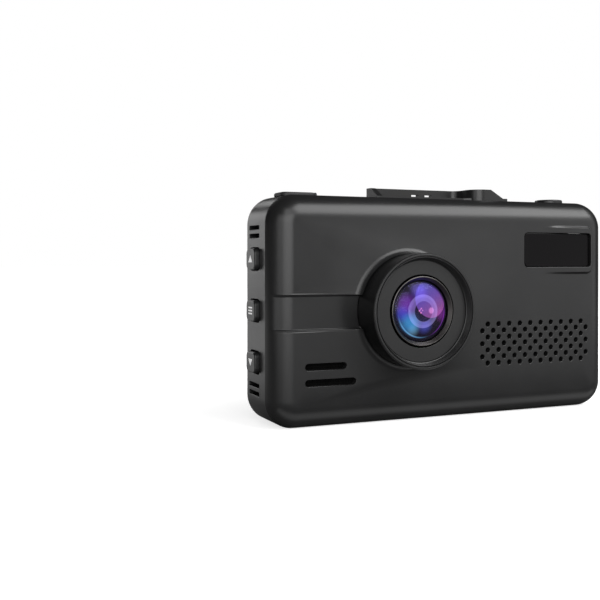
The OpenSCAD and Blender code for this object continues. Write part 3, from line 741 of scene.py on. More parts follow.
class Picture:
    """Collects thin tiles of each colour; places are measured from the display's top left corner."""

    def __init__(self):
        self.layers = {}

    def tile(self, colour, loop, layer=0, holes=()):
        skin = self.layers.setdefault(colour, Skin())
        y0 = FACE_Y + 0.002 + layer * TILE_T
        y1 = y0 + TILE_T * 0.9
        loop, holes = anticlockwise(loop), [anticlockwise(h)[::-1] for h in holes]
        where, tris = flat_mesh(loop, holes)

        def put(a, b, y):
            return rear_place(SCREEN_LEFT + a, SCREEN_TOP - b, y)

        for y, out in ((y1, 1), (y0, -1)):
            skin.sheet(tris, [put(a, b, y) for a, b in where], [(0, out, 0)] * len(where), flip=out > 0)
        for ring in [loop] + list(holes):
            skin.grid([[put(a, b, y) for a, b in ring] for y in (y0, y1)])

    def bar(self, colour, x0, y0, x1, y1, r=0.05, layer=0):
        loop = shifted(rect_loop(x1 - x0, y1 - y0, r, 3), (x0 + x1) / 2, (y0 + y1) / 2)
        self.tile(colour, loop, layer)

    def frame(self, colour, x0, y0, x1, y1, t, r=0.12, layer=0):
        mid = ((x0 + x1) / 2, (y0 + y1) / 2)
        outer = shifted(rect_loop(x1 - x0, y1 - y0, r, 3), *mid)
        inner = shifted(rect_loop(x1 - x0 - 2 * t, y1 - y0 - 2 * t, max(r - t, 0.02), 3), *mid)
        self.tile(colour, outer, layer, [inner])

    def disc(self, colour, x, y, r, layer=0):
        self.tile(colour, shifted(ring_loop(r, 48), x, y), layer)

    def ring(self, colour, x, y, r, t, layer=0):
        self.tile(colour, shifted(ring_loop(r, 48), x, y), layer, [shifted(ring_loop(r - t, 48), x, y)])

    def shape(self, colour, points, layer=0):
        self.tile(colour, np.array(points, float), layer)

    def slash(self, colour, x, y, length, t, angle, layer=0):
        c, s = math.cos(angle), math.sin(angle)
        corners = [(-length / 2, -t / 2), (length / 2, -t / 2), (length / 2, t / 2), (-length / 2, t / 2)]
        self.shape(colour, [(x + a * c - b * s, y + a * s + b * c) for a, b in corners], layer)


def digits(text, colour, x, baseline, height, name, layer=0):
    """Figures from the built-in font, as thin solid tiles."""
    stretch, capital = 0.92, 0.73       # width, and a figure's height as a share of the font's size
    curve = bpy.data.curves.new(name, "FONT")
    curve.body = text
    curve.size = height / capital * MM
    curve.extrude = TILE_T * 0.4 * MM
    curve.resolution_u = 6
    holder = add_object(name, curve)
    mesh = bpy.data.meshes.new_from_object(holder.evaluated_get(bpy.context.evaluated_depsgraph_get()))
    bpy.data.objects.remove(holder)
    bpy.data.curves.remove(curve)
    turn = Matrix(((-stretch, 0, 0, 0), (0, 0, 1, 0), (0, 1, 0, 0), (0, 0, 0, 1)))
    put = rear_place(SCREEN_LEFT + x, SCREEN_TOP - baseline, FACE_Y + 0.002 + (layer + 0.45) * TILE_T) * MM
    tidy = bmesh.new()
    tidy.from_mesh(mesh)
    bmesh.ops.remove_doubles(tidy, verts=tidy.verts, dist=1e-7)
    tidy.to_mesh(mesh)
    tidy.free()
    mesh.transform(Matrix.Translation(Vector(put)) @ turn)
    obj = add_object(name, mesh)
    obj["colour"] = colour
    return obj


def screen_picture():
    """Radar level bars, speed limit, lane and stopping signs, speed, clock and status line."""
    pic = Picture()
    bar_x, bar_y, bar_h, bar_w = 2.0, 6.1, 2.25, 5.2
    for i in range(9):
        y = bar_y + i * 2.8
        if i < 7:
            pic.bar("bar_dark", bar_x, y, bar_x + bar_w, y + bar_h)
            pic.frame("bar_red", bar_x, y, bar_x + bar_w, y + bar_h, 0.16, layer=1)
        else:
            pic.bar("lamp_red", bar_x, y, bar_x + bar_w, y + bar_h)
    sign_x, sign_r = 14.2, 3.75
    # speed limit
    pic.disc("lamp_white", sign_x, 9.7, sign_r)
    pic.ring("lamp_red", sign_x, 9.7, sign_r * 0.95, 0.78, layer=1)
    # bus lane
    pic.tile("lamp_blue", shifted(rect_loop(7.2, 7.2, 1.1, 5), sign_x, 18.0))
    pic.frame("lamp_white", sign_x - 3.45, 14.55, sign_x + 3.45, 21.45, 0.16, r=0.9, layer=1)
    pic.shape("lamp_white", [(sign_x, 14.9), (sign_x + 1.25, 16.4), (sign_x + 0.45, 16.4), (sign_x + 0.45, 17.3),
                             (sign_x - 0.45, 17.3), (sign_x - 0.45, 16.4), (sign_x - 1.25, 16.4)], layer=1)
    pic.tile("lamp_white", shifted(rect_loop(3.2, 3.0, 0.5, 4), sign_x, 19.3), 1,
             [shifted(rect_loop(2.5, 1.1, 0.2, 3), sign_x, 19.0)])
    for dx in (-1.0, 1.0):
        pic.bar("lamp_white", sign_x + dx - 0.35, 20.75, sign_x + dx + 0.35, 21.15, layer=1)
    # no stopping
    pic.disc("lamp_blue", sign_x, 26.4, sign_r)
    pic.ring("lamp_red", sign_x, 26.4, sign_r, 0.7, layer=1)
    pic.slash("lamp_red", sign_x, 26.4, 6.4, 0.62, math.pi / 4, layer=1)
    pic.slash("lamp_red", sign_x, 26.4, 6.4, 0.62, -math.pi / 4, layer=2)
    # camera and muted sound
    pic.frame("lamp_white", 33.0, 1.4, 35.0, 2.7, 0.18)
    pic.shape("lamp_white", [(35.2, 2.0), (36.1, 1.4), (36.1, 2.7)])
    pic.slash("lamp_white", 34.7, 2.1, 3.6, 0.16, -0.75, layer=1)
    # sun for the backlight level
    pic.disc("lamp_white", 22.1, 33.0, 0.42)
    for k in range(8):
        a = k * math.pi / 4
        pic.slash("lamp_white", 22.1 + 0.8 * math.cos(a), 33.0 + 0.8 * math.sin(a), 0.3, 0.12, a)
    # loudspeaker with two waves
    cone = [(26.0, 32.7), (26.4, 32.7), (26.95, 32.2), (26.95, 33.8), (26.4, 33.3), (26.0, 33.3)]
    pic.shape("lamp_white", cone)
    for r in (0.6, 1.05):
        arc = [(27.15 + r * math.cos(t), 33.0 + r * math.sin(t)) for t in np.linspace(-0.8, 0.8, 9)]
        thin = r - 0.14
        back = [(27.15 + thin * math.cos(t), 33.0 + thin * math.sin(t)) for t in np.linspace(0.8, -0.8, 9)]
        pic.shape("lamp_white", arc + back)
    parts = [skin.build(f"screen_{colour}") for colour, skin in pic.layers.items()]
    for part, colour in zip(parts, pic.layers):
        part["colour"] = colour
    figures = [("01:15:10", "lamp_white", 2.0, 3.2, 1.45), ("1080", "lamp_white", 24.0, 3.2, 1.45),
               ("80", "ink", sign_x - 1.95, 11.05, 2.6), ("38", "lamp_green", 24.6, 24.6, 13.2),
               ("km/h", "lamp_green", 41.4, 24.6, 3.0), ("20:45", "lamp_white", 21.2, 29.1, 1.9),
               ("22.09.21", "lamp_white", 32.3, 29.1, 1.9), ("1500", "lamp_white", 2.2, 34.4, 1.6),
               ("1", "lamp_white", 23.3, 33.7, 1.5), ("2", "lamp_white", 28.9, 33.7, 1.5)]
    for i, (text, colour, x, baseline, height) in enumerate(figures):
        layer = 1 if colour == "ink" else 0
        parts.append(digits(text, colour, x, baseline, height, f"screen_figures_{i}", layer))
    return parts


# ---------- lens ----------

GLASS_R = 7.35
GLASS_CURVE = 16.0
GLASS_Y = -19.75
RIM_R = 13.98
BAFFLES = 6


def lens_hood():
    """Tapered hood with a stepped double rim, a fine groove and baffle rings inside."""
    lip = HOOD_Y
    outside = [(15.0, -9.3), (15.0, -10.0), (HOOD_R, -10.0), (HOOD_R + 0.02, -12.4), (RIM_R, lip + 0.3, 0.2),
               (RIM_R - 0.26, lip, 0.12), (RIM_R - 0.66, lip, 0.05), (RIM_R - 0.68, lip + 0.5),
               (RIM_R - 0.88, lip + 0.5), (RIM_R - 0.9, lip + 0.06, 0.05), (RIM_R - 1.02, lip + 0.06)]
    profile = [tuple(p) for p in filleted(outside, steps=4)]
    for i in range(BAFFLES):
        r, y = RIM_R - 1.02 - 0.075 * i, lip + 0.06 + 0.26 * i
        profile += [(r - 0.02, y + 0.2), (r - 0.075, y + 0.26)]
    profile += [(12.38, lip + 1.72), (12.35, lip + 2.35), (11.0, lip + 2.42), (11.0, lip + 3.0),
                (12.45, lip + 3.0), (12.45, -9.3)]
    hood = turned("lens_hood_shell", profile, count=144)
    # The front lip and the baffle rings take a lighter, glossier copy of the hood's plastic (slot 1); the side
    # and the deep inner wall keep the darker one: painted light on the rim, painted shade on the side.
    for face in hood.data.polygons:
        depth = face.center.y / MM - lip
        off = math.hypot(face.center.x / MM - LENS_X, face.center.z / MM - LENS_Z)
        face.material_index = int(depth < 0.42 or (off < RIM_R - 0.95 and depth < 3))
    return hood


def lens_face_plate():
    y = HOOD_Y + 1.8
    profile = filleted([(8.82, y + 0.6), (8.82, y, 0.1), (12.28, y, 0.12), (12.28, y + 0.6)], steps=3)
    return turned("lens_plate", [tuple(p) for p in profile], count=128)


def lens_trim_ring():
    """Conical ring that narrows from its rounded front edge to the glass."""
    profile = filleted([(7.42, -17.6), (8.43, -17.6), (8.43, -18.98, 0.12), (8.2, -19.08, 0.1),
                        (7.5, -18.3, 0.12), (7.42, -17.8)], steps=4)
    return turned("lens_ring", [tuple(p) for p in profile], count=128)


def lens_barrel():
    """Threaded barrel with a stepped seat for each element."""
    front = [(6.0, -8.7), (6.0, -11.0), (8.43, -11.0), (8.43, -17.55), (7.4, -17.55), (7.38, -15.8),
             (6.9, -15.4), (6.3, -14.9), (5.9, -14.3), (5.5, -13.4), (5.2, -12.6), (5.2, -11.3), (4.62, -11.1), (4.62, -4.9)]
    thread = [(5.98, -4.9)]
    for i in range(8):
        y = -5.1 - i * 0.44
        thread += [(5.98, y), (5.78, y - 0.22)]
    return turned("lens_tube", front + thread)


def curved_face(r, apex, curve, count):
    """Profile of a spherical face from its axis out to r, with its middle at apex."""
    radii = [max(r * math.sin(t) / math.sin(1.0), 1e-6) for t in np.linspace(0, 1.0, count)]
    return [(a, apex + curve - math.sqrt(curve ** 2 - a ** 2)) for a in radii]


def dome(name, r, apex, curve, back):
    """A plano-convex element with a bevelled edge; apex and back are depths along Y."""
    bevel, ledge = 0.12, 1.0
    front = curved_face(r - bevel, apex, curve, 14)
    behind = [(r, front[-1][1] + bevel), (r, back), (r - ledge, back), (1e-6, back)]
    return turned(name, front + behind, closed=False)


def painted_reflection_shell():
    """A thin dome just under the first element's clear one, which carries the lens's painted reflections."""
    thick = 0.25
    front = curved_face(GLASS_R - 0.12, GLASS_Y + 0.22, GLASS_CURVE, 16)
    back = [(a, y + thick) for a, y in front[::-1]]
    return turned("lens_painted_reflection_face", front + back, closed=False, count=128)


# ---------- keys, power button and port cover ----------

def side_key(name):
    """A soft-edged cap with its flange and stem, pointing out of the side it sits in."""
    lo, hi = cap_boxes[name]
    side = math.copysign(1, hi[0])
    z = (lo[2] + hi[2]) / 2
    root, tip = min(abs(lo[0]), abs(hi[0])), max(abs(lo[0]), abs(hi[0]))
    stem, flange, soft = (3.0, 3.0, 0.4), (7.5, 6.4, 1.4), 0.38
    rows = [(*stem, root), (*stem, root + 0.35), (*flange, root + 0.35), (*flange, root + 0.8),
            (CAP_L, CAP_H, CAP_R, root + 0.8)]
    rows += soft_edge(CAP_L, CAP_H, CAP_R, tip - 0.03 - soft, soft, 0.8, 8)
    return tower(name + "_cap", rows, lambda a, b, c: np.array([side * c, -side * a, b + z]), steps=6, limit=40)


def key_icon(name, strokes):
    """Printed sign on a cap, as closed outlines of (across, up)."""
    lo, hi = cap_boxes[name]
    z = (lo[2] + hi[2]) / 2
    skin = Skin()
    front, back = lo[0], lo[0] + 0.04
    for stroke in strokes:
        where, tris = flat_mesh(stroke)
        for x, out in ((front, -1), (back, 1)):
            skin.sheet(tris, [(x, -a, b + z) for a, b in where], [(out, 0, 0)] * len(where), flip=out > 0)
        skin.grid([[(x, -a, b + z) for a, b in stroke] for x in (front, back)])
    return skin.build(name + "_icon")


def power_button():
    skin = Skin()
    r, top = POWER_R, power_hi[2]
    corners = [(1e-6, power_lo[2]), (2.0, power_lo[2]), (2.0, power_lo[2] + 0.5), (r + 0.75, power_lo[2] + 0.5),
               (r + 0.75, power_lo[2] + 1.1), (r, power_lo[2] + 1.1), (r, top - 0.1, 0.5), (r - 0.6, top, 0.4),
               (2.3, top - 0.1, 1.0), (1e-6, top - 0.22)]
    rows = [[(POWER_X + q * c, -q * s, h) for c, s in ring_loop(1, 72)] for q, h in filleted(corners, steps=5)]
    skin.strips(rows)
    return skin.build("power_button_cap")


port_hi = box_mm("port_cover")[1]


def port_cover():
    """Rubber flap with soft edges, a plug under it and a finger lip."""
    base, top = BODY_H + 0.05, port_hi[2]
    width, soft = 7.0, 0.5
    rows = [(8.0, 3.0, 0.7, 54.2), (8.1, 3.1, 0.7, 54.5), (8.1, 3.1, 0.7, base), (PORT_L, width, 1.5, base)]
    rows += soft_edge(PORT_L, width, 1.5, top - 0.05 - soft, soft, 0.7, 6)
    rows.append((PORT_L - 2.5, 4.6, 0.8, top))
    return tower("port_flap", rows, lambda a, b, c: np.array([PORT_X + a, -b, c]), steps=6, limit=40)


def hinge_bead():
    """Round rubber bead along the port cover's hinge."""
    skin = Skin()
    pin_x, pin_z = PORT_X + PORT_L / 2, BODY_H + 0.55
    rows = [[(pin_x + thin * a, y, pin_z + thin * b) for a, b in ring_loop(0.48, 20)]
            for y, thin in ((-2.6, 0.6), (-2.3, 1), (2.3, 1), (2.6, 0.6))]
    skin.strips(rows)
    skin.lid(rows[0])
    skin.lid(rows[-1], flip=True)
    return skin.build("port_hinge_bead")


def port_strap():
    """Thin tail of the rubber cover, bonded to the case beyond the hinge."""
    long, wide = 4.4, 5.4
    mid = PORT_X + PORT_L / 2 + 0.62 + long / 2
    rows = [(long - less, wide - less, r, BODY_H + height)
            for less, r, height in ((0, 0.8, -0.02), (0, 0.8, 0.12), (0.1, 0.75, 0.2), (0.5, 0.6, 0.26))]
    return tower("port_strap", rows, lambda a, b, c: np.array([mid + a, -b, c]), limit=70)


def slot_cloth():
    """Dust cloth stretched behind the two front slots, with a pressed edge."""
    w, h, mid = 16.0, 8.2, (-34.6, 13.0)
    rows = [(w - less, h - less, r, FLAT_Y + gap)
            for less, r, gap in ((0, 1.2, 0.1), (0, 1.2, 0.02), (0.6, 0.9, 0.3), (1, 0.8, 0.3))]
    return tower("slot_cloth", rows, lambda a, b, c: np.array([mid[0] + a, c, mid[1] + b]))


def laser_window():
    """Dark pane with crisp rounded edges, reaching back behind the front."""
    w, h = WINDOW_X[1] - WINDOW_X[0], WINDOW_Z[1] - WINDOW_Z[0]
    front, soft = PANEL_Y - 0.02, 0.18
    rows = [(w, h, 0.95, PANEL_Y + 2.3), (w, h, 0.95, front + 0.22)]
    rows += soft_edge(w, h, 0.95, front + soft, soft, 1, 5, up=-1)[1:]

    def place(a, b, c):
        return np.array([window_mid[0] + a, c, window_mid[1] + b])

    return tower("laser_pane", rows, place, steps=6, limit=50)


# ---------- materials ----------

class Shader:
    """A node tree that ends in one principled surface."""

    def __init__(self, name, colour=(0.5, 0.5, 0.5), rough=0.5, **sockets):
        self.material = bpy.data.materials.new(name)
        self.material.use_nodes = True
        self.tree = self.material.node_tree
        self.bsdf = next(n for n in self.tree.nodes if n.type == "BSDF_PRINCIPLED")
        self.out = next(n for n in self.tree.nodes if n.type == "OUTPUT_MATERIAL")
        self.bsdf.inputs["Base Color"].default_value = (*colour, 1)
        self.bsdf.inputs["Roughness"].default_value = rough
        for key, value in sockets.items():
            self.bsdf.inputs[key.replace("_", " ").title().replace("Ior", "IOR")].default_value = value
        self.place = self.node("ShaderNodeTexCoord").outputs["Object"]

    def node(self, kind, **values):
        made = self.tree.nodes.new(kind)
        for key, value in values.items():
            if hasattr(made, key):
                setattr(made, key, value)
            else:
                made.inputs[key.replace("_", " ").title()].default_value = value
        return made

    def link(self, a, b):
        self.tree.links.new(a, b)

    def noise(self, scale, detail=3.0, rough=0.5, vector=None):
        made = self.node("ShaderNodeTexNoise", scale=scale, detail=detail, roughness=rough)
        self.link(vector or self.place, made.inputs["Vector"])
        return made.outputs["Fac"]

    def cells(self, scale, feature="F1", randomness=1.0):
        made = self.node("ShaderNodeTexVoronoi", feature=feature, scale=scale, randomness=randomness)
        self.link(self.place, made.inputs["Vector"])
        return made.outputs["Distance"]

    def stretched(self, x, y, z):
        made = self.node("ShaderNodeMapping")
        made.inputs["Scale"].default_value = (x, y, z)
        self.link(self.place, made.inputs["Vector"])
        return made.outputs["Vector"]

    def ramp(self, factor, stops):
        made = self.node("ShaderNodeValToRGB")
        ramp = made.color_ramp
        while len(ramp.elements) < len(stops):
            ramp.elements.new(0.5)
        for element, (at, colour) in zip(ramp.elements, stops):
            element.position = at
            element.color = (*colour, 1) if not isinstance(colour, float) else (colour, colour, colour, 1)
        self.link(factor, made.inputs["Fac"])
        return made.outputs["Color"]

    def math(self, operation, a, b=0.0):
        made = self.node("ShaderNodeMath", operation=operation)
        for socket, value in zip(made.inputs, (a, b)):
            if isinstance(value, float):
                socket.default_value = value
            else:
                self.link(value, socket)
        return made.outputs[0]

    def vector(self, operation, socket, value=None):
        """A vector operation on a socket, and a fixed second vector where it takes one."""
        made = self.node("ShaderNodeVectorMath", operation=operation)
        self.link(socket, made.inputs[0])
        if value:
            made.inputs[1].default_value = value
        return made.outputs[0 if operation == "SUBTRACT" else "Value"]

    def blend(self, factor, a, b, kind="MIX"):
        made = self.node("ShaderNodeMix", data_type="RGBA", blend_type=kind)
        for socket, value in zip((made.inputs[0], made.inputs[6], made.inputs[7]), (factor, a, b)):
            if isinstance(value, float):
                socket.default_value = value
            elif isinstance(value, tuple):
                socket.default_value = (*value, 1)
            else:
                self.link(value, socket)
        return made.outputs[2]

    def colour(self, socket):
        self.link(socket, self.bsdf.inputs["Base Color"])

    def remap(self, factor, **ends):
        made = self.node("ShaderNodeMapRange", **ends)
        self.link(factor, made.inputs["Value"])
        return made.outputs["Result"]

    def rough_between(self, factor, low, high):
        self.link(self.remap(factor, to_min=low, to_max=high), self.bsdf.inputs["Roughness"])

    def bump(self, height, depth):
        made = self.node("ShaderNodeBump", strength=1.0, distance=depth * MM)
        self.link(height, made.inputs["Height"])
        self.link(made.outputs["Normal"], self.bsdf.inputs["Normal"])


def tint(colour, gain):
    return tuple(min(c * gain, 1.0) for c in colour)


def moulded(name, colour, rough, grain=5200.0, depth=0.006, spread=0.14, **sockets):
    """Moulded plastic or rubber: fine spark texture, slight mottling, polish that varies a little."""
    s = Shader(name, colour, rough, **sockets)
    fine = s.noise(grain, 2.0, 0.6)
    broad = s.noise(70.0, 3.0, 0.55)
    s.colour(s.ramp(broad, [(0.3, tint(colour, 1 - spread)), (0.7, tint(colour, 1 + spread))]))
    s.rough_between(s.math("ADD", s.math("MULTIPLY", broad, 0.6), s.math("MULTIPLY", fine, 0.4)),
                    rough - 0.06, rough + 0.06)
    s.bump(s.math("ADD", fine, s.math("MULTIPLY", s.cells(grain * 0.45), 0.5)), depth)
    return s.material


def metal(name, colour, rough, along, grain=2500.0, depth=0.002):
    """Metal with fine drawn or turned lines and a little tarnish."""
    s = Shader(name, colour, rough, metallic=1.0)
    lines = s.noise(grain, 3.0, 0.6, s.stretched(*along))
    stain = s.noise(260.0, 4.0, 0.6)
    s.colour(s.ramp(stain, [(0.25, tint(colour, 0.72)), (0.6, colour), (0.9, tint(colour, 1.12))]))
    s.rough_between(lines, rough - 0.07, rough + 0.1)
    s.bump(lines, depth)
    return s.material


def circuit(name, colour):
    """Solder mask over traces and vias."""
    s = Shader(name, colour, 0.38, coat_weight=0.3)
    traces = s.math("LESS_THAN", s.cells(380.0, "DISTANCE_TO_EDGE", randomness=0.7), 0.07)
    vias = s.math("LESS_THAN", s.cells(520.0), 0.12)
    under = s.blend(traces, tint(colour, 0.8), tint(colour, 2.2))
    s.colour(s.blend(vias, under, (0.62, 0.5, 0.22)))
    s.rough_between(s.noise(900.0), 0.3, 0.48)
    s.bump(s.math("ADD", traces, vias), 0.02)
    return s.material


def fabric(name, colour, pitch, depth):
    """Close plain weave."""
    s = Shader(name, colour, 0.85, specular_IOR_level=0.05)
    threads = 1.0 / (pitch * MM) / 6.28
    warp, weft = [s.node("ShaderNodeTexWave", scale=threads, bands_direction=way) for way in ("X", "Z")]
    for wave in (warp, weft):
        s.link(s.place, wave.inputs["Vector"])
    woven = s.math("MAXIMUM", warp.outputs["Fac"], weft.outputs["Fac"])
    shade = s.math("MULTIPLY", woven, s.noise(300.0))
    s.colour(s.ramp(shade, [(0.1, tint(colour, 0.4)), (0.6, tint(colour, 1.4))]))
    s.rough_between(woven, 0.75, 0.95)
    s.bump(woven, depth)
    return s.material


def fibrous(name, colour, rough):
    """Pulp, ceramic or diffuser sheet: cloudy colour and a soft tooth."""
    grain = 1400.0
    s = Shader(name, colour, rough)
    cloud = s.noise(grain * 0.2, 4.0, 0.6)
    tooth = s.noise(grain, 5.0, 0.7)
    s.colour(s.ramp(s.math("MULTIPLY", s.math("ADD", cloud, tooth), 0.5),
                    [(0.3, tint(colour, 0.8)), (0.7, tint(colour, 1.12))]))
    s.rough_between(cloud, rough - 0.08, rough + 0.08)
    s.bump(tooth, 0.02)
    return s.material


def lamp(name, colour, strength):
    """A lit part of the display: even light with a faint pixel structure."""
    s = Shader(name, tint(colour, 0.05), 0.25, emission_strength=strength)
    grid = s.node("ShaderNodeTexChecker", scale=3400.0)
    s.link(s.place, grid.inputs["Vector"])
    soft = s.noise(900.0, 2.0)
    pixels = s.blend(s.math("MULTIPLY", grid.outputs["Fac"], 0.12), colour, tint(colour, 0.7))
    s.link(s.blend(s.math("MULTIPLY", soft, 0.12), pixels, tint(colour, 0.85)), s.bsdf.inputs["Emission Color"])
    return s.material


def polished(name, colour, rough=0.06, **sockets):
    """Glossy pane with a barely uneven polish and traces of dust."""
    s = Shader(name, colour, rough, **sockets)
    wave = s.noise(35.0, 2.0)
    dust = s.math("GREATER_THAN", s.noise(2600.0, 1.0), 0.74)
    clean = s.ramp(wave, [(0.3, tint(colour, 0.85)), (0.7, tint(colour, 1.15))])
    s.colour(s.blend(s.math("MULTIPLY", dust, 0.35), clean, tint(colour, 1.8)))
    s.rough_between(s.math("MAXIMUM", s.math("MULTIPLY", dust, 0.6), wave), rough * 0.7, rough * 1.4)
    s.bump(wave, 0.004)
    return s.material


def spot(s, x, z, core, reach):
    """1 within core millimetres of a place beside the lens axis, fading to 0 at reach."""
    apart = s.vector("LENGTH", s.vector("SUBTRACT", s.lens_plane, (x, 0, z)))
    return s.remap(apart, interpolation_type="SMOOTHSTEP", from_min=reach, from_max=core)


def lens_plane(s):
    """Sets up the place beside the lens axis, in millimetres, with depth left out."""
    shift = s.node("ShaderNodeMapping")
    shift.inputs["Location"].default_value = (-LENS_X, 0, -LENS_Z)
    shift.inputs["Scale"].default_value = (1 / MM, 0, 1 / MM)
    s.link(s.place, shift.inputs["Vector"])
    s.lens_plane = shift.outputs["Vector"]


def band_of(s, inner, outer, soft):
    """1 between two radii round the lens axis."""
    within = spot(s, 0, 0, outer - soft, outer)
    return s.math("MULTIPLY", within, s.math("SUBTRACT", 1.0, spot(s, 0, 0, inner - soft, inner)))


GHOST = (2.25, 2.8, 4.5)          # place and radius of the lamp's reflection, from the lens axis


def painted_lens_reflections():
    """The lens's coloured reflections and its dark pupil, painted as glowing emission on dark glass: soft pools
    of violet, blue and magenta reflection, a lilac zone, glints and the lamp's round reflection.
    """
    s = Shader("lens_painted_reflections", (0.006, 0.005, 0.009), 0.2, emission_strength=1.0, specular_IOR_level=0.1)
    lens_plane(s)
    total = s.ramp(s.noise(240.0), [(0.3, (0.006, 0.004, 0.01)), (0.7, (0.01, 0.008, 0.016))])

    def add(factor, colour):
        nonlocal total
        total = s.blend(factor, total, colour, "ADD")

    # Soft pools of painted coloured reflection, as (x, z, core, reach, colour).
    reflection_pools = [(-4.3, 1.9, 0.2, 3.4, (0.1, 0.006, 0.26)), (-5.4, -0.5, 0.2, 2.6, (0.03, 0.035, 0.36)),
             (-3.4, -2.7, 0.3, 3.3, (0.035, 0.23, 0.5)), (-2.5, -4.6, 0.2, 2.0, (0.06, 0.14, 0.2)),
             (-0.8, 4.8, 0.4, 3.0, (0.06, 0.03, 0.32)), (5.4, -0.9, 0.2, 2.4, (0.1, 0.006, 0.14)),
             (0.5, -3.4, 0.2, 2.6, (0.04, 0.05, 0.3))]
    for x, z, core, reach, colour in reflection_pools:
        add(spot(s, x, z, core, reach), colour)
    # Painted shade: a dark pupil in the middle.
    dark_pupil_shade = s.math("MULTIPLY", spot(s, 0.1, -0.1, 2.42, 2.55), 0.82)
    total = s.blend(dark_pupil_shade, total, (0.012, 0.008, 0.03))
    # A painted lilac ring of reflection round the pupil, with a second, fainter band added over its outer part.
    add(band_of(s, 2.5, 4.1, 0.1), (0.1, 0.085, 0.22))
    add(band_of(s, 3.4, 4.1, 0.12), (0.035, 0.03, 0.06))
    # Painted thin arcs of blue and violet reflection near the rim.
    add(s.math("MULTIPLY", band_of(s, 6.3, 6.62, 0.14), spot(s, -3.4, -5.2, 1.5, 6.0)), (0.09, 0.24, 0.42))
    add(s.math("MULTIPLY", band_of(s, 6.35, 6.62, 0.12), spot(s, 5.6, -2.0, 1.5, 6.0)), (0.14, 0.02, 0.28))
    # Painted pink highlights: one right of the middle and small glints left of it.
    add(spot(s, 2.1, 0.15, 0.5, 0.95), (0.38, 0.14, 0.3))
    glints = ((-1.25, 0.15, 0.2), (-0.75, 0.7, 0.17), (-0.85, -0.3, 0.2), (-0.4, 0.25, 0.14), (-1.0, 0.45, 0.1))
    for x, z, r in glints:
        add(spot(s, x, z, r * 0.3, r * 1.5), (0.75, 0.22, 0.5))
    # the lamp's round reflection in the coating: violet blue above, pink below
    across = s.vector("DOT_PRODUCT", s.lens_plane, (0.5, 0, -0.87))
    ghost = s.ramp(s.remap(across, from_min=-5.0, from_max=2.6),
                   [(0.0, (0.06, 0.05, 0.34)), (0.45, (0.125, 0.055, 0.34)), (1.0, (0.24, 0.06, 0.22))])
    x, z, r = GHOST
    total = s.blend(spot(s, x, z, r - 0.12, r), total, ghost, "ADD")
    # The whole face glows as emission; beyond 6.2 mm it fades to near black at 7.2 mm, painted shade at the rim.
    s.link(s.blend(spot(s, 0, 0, 6.2, 7.2), (0.004, 0.004, 0.006), total), s.bsdf.inputs["Emission Color"])
    s.rough_between(s.noise(500.0), 0.15, 0.3)
    return s.material


def coated_glass(name, near, far, share):
    """Clear glass whose front coating returns a coloured reflection; the rest passes through."""
    s = Shader(name)
    lens_plane(s)
    clear = s.node("ShaderNodeBsdfTransparent")
    clear.inputs["Color"].default_value = (0.95, 0.96, 0.98, 1)
    gloss = s.node("ShaderNodeBsdfGlossy")
    gloss.inputs["Roughness"].default_value = 0.02
    s.link(s.blend(spot(s, 3.5, -1.0, 0.5, 6.5), far, near), gloss.inputs["Color"])
    facing = s.node("ShaderNodeSeparateXYZ")
    s.link(s.node("ShaderNodeTexCoord").outputs["Normal"], facing.inputs[0])
    front = s.math("LESS_THAN", facing.outputs["Y"], -0.6)
    fresnel = s.node("ShaderNodeLayerWeight")
    fresnel.inputs["Blend"].default_value = 0.4
    smear = s.math("ADD", 0.9, s.math("MULTIPLY", s.noise(120.0), 0.2))
    glancing = s.math("MULTIPLY", fresnel.outputs["Fresnel"], 0.03)
    amount = s.math("MULTIPLY", s.math("ADD", share, glancing), front)
    mix = s.node("ShaderNodeMixShader")
    s.link(s.math("MULTIPLY", amount, smear), mix.inputs[0])
    s.link(clear.outputs[0], mix.inputs[1])
    s.link(gloss.outputs[0], mix.inputs[2])
    s.link(mix.outputs[0], s.out.inputs["Surface"])
    s.tree.nodes.remove(s.bsdf)
    return s.material


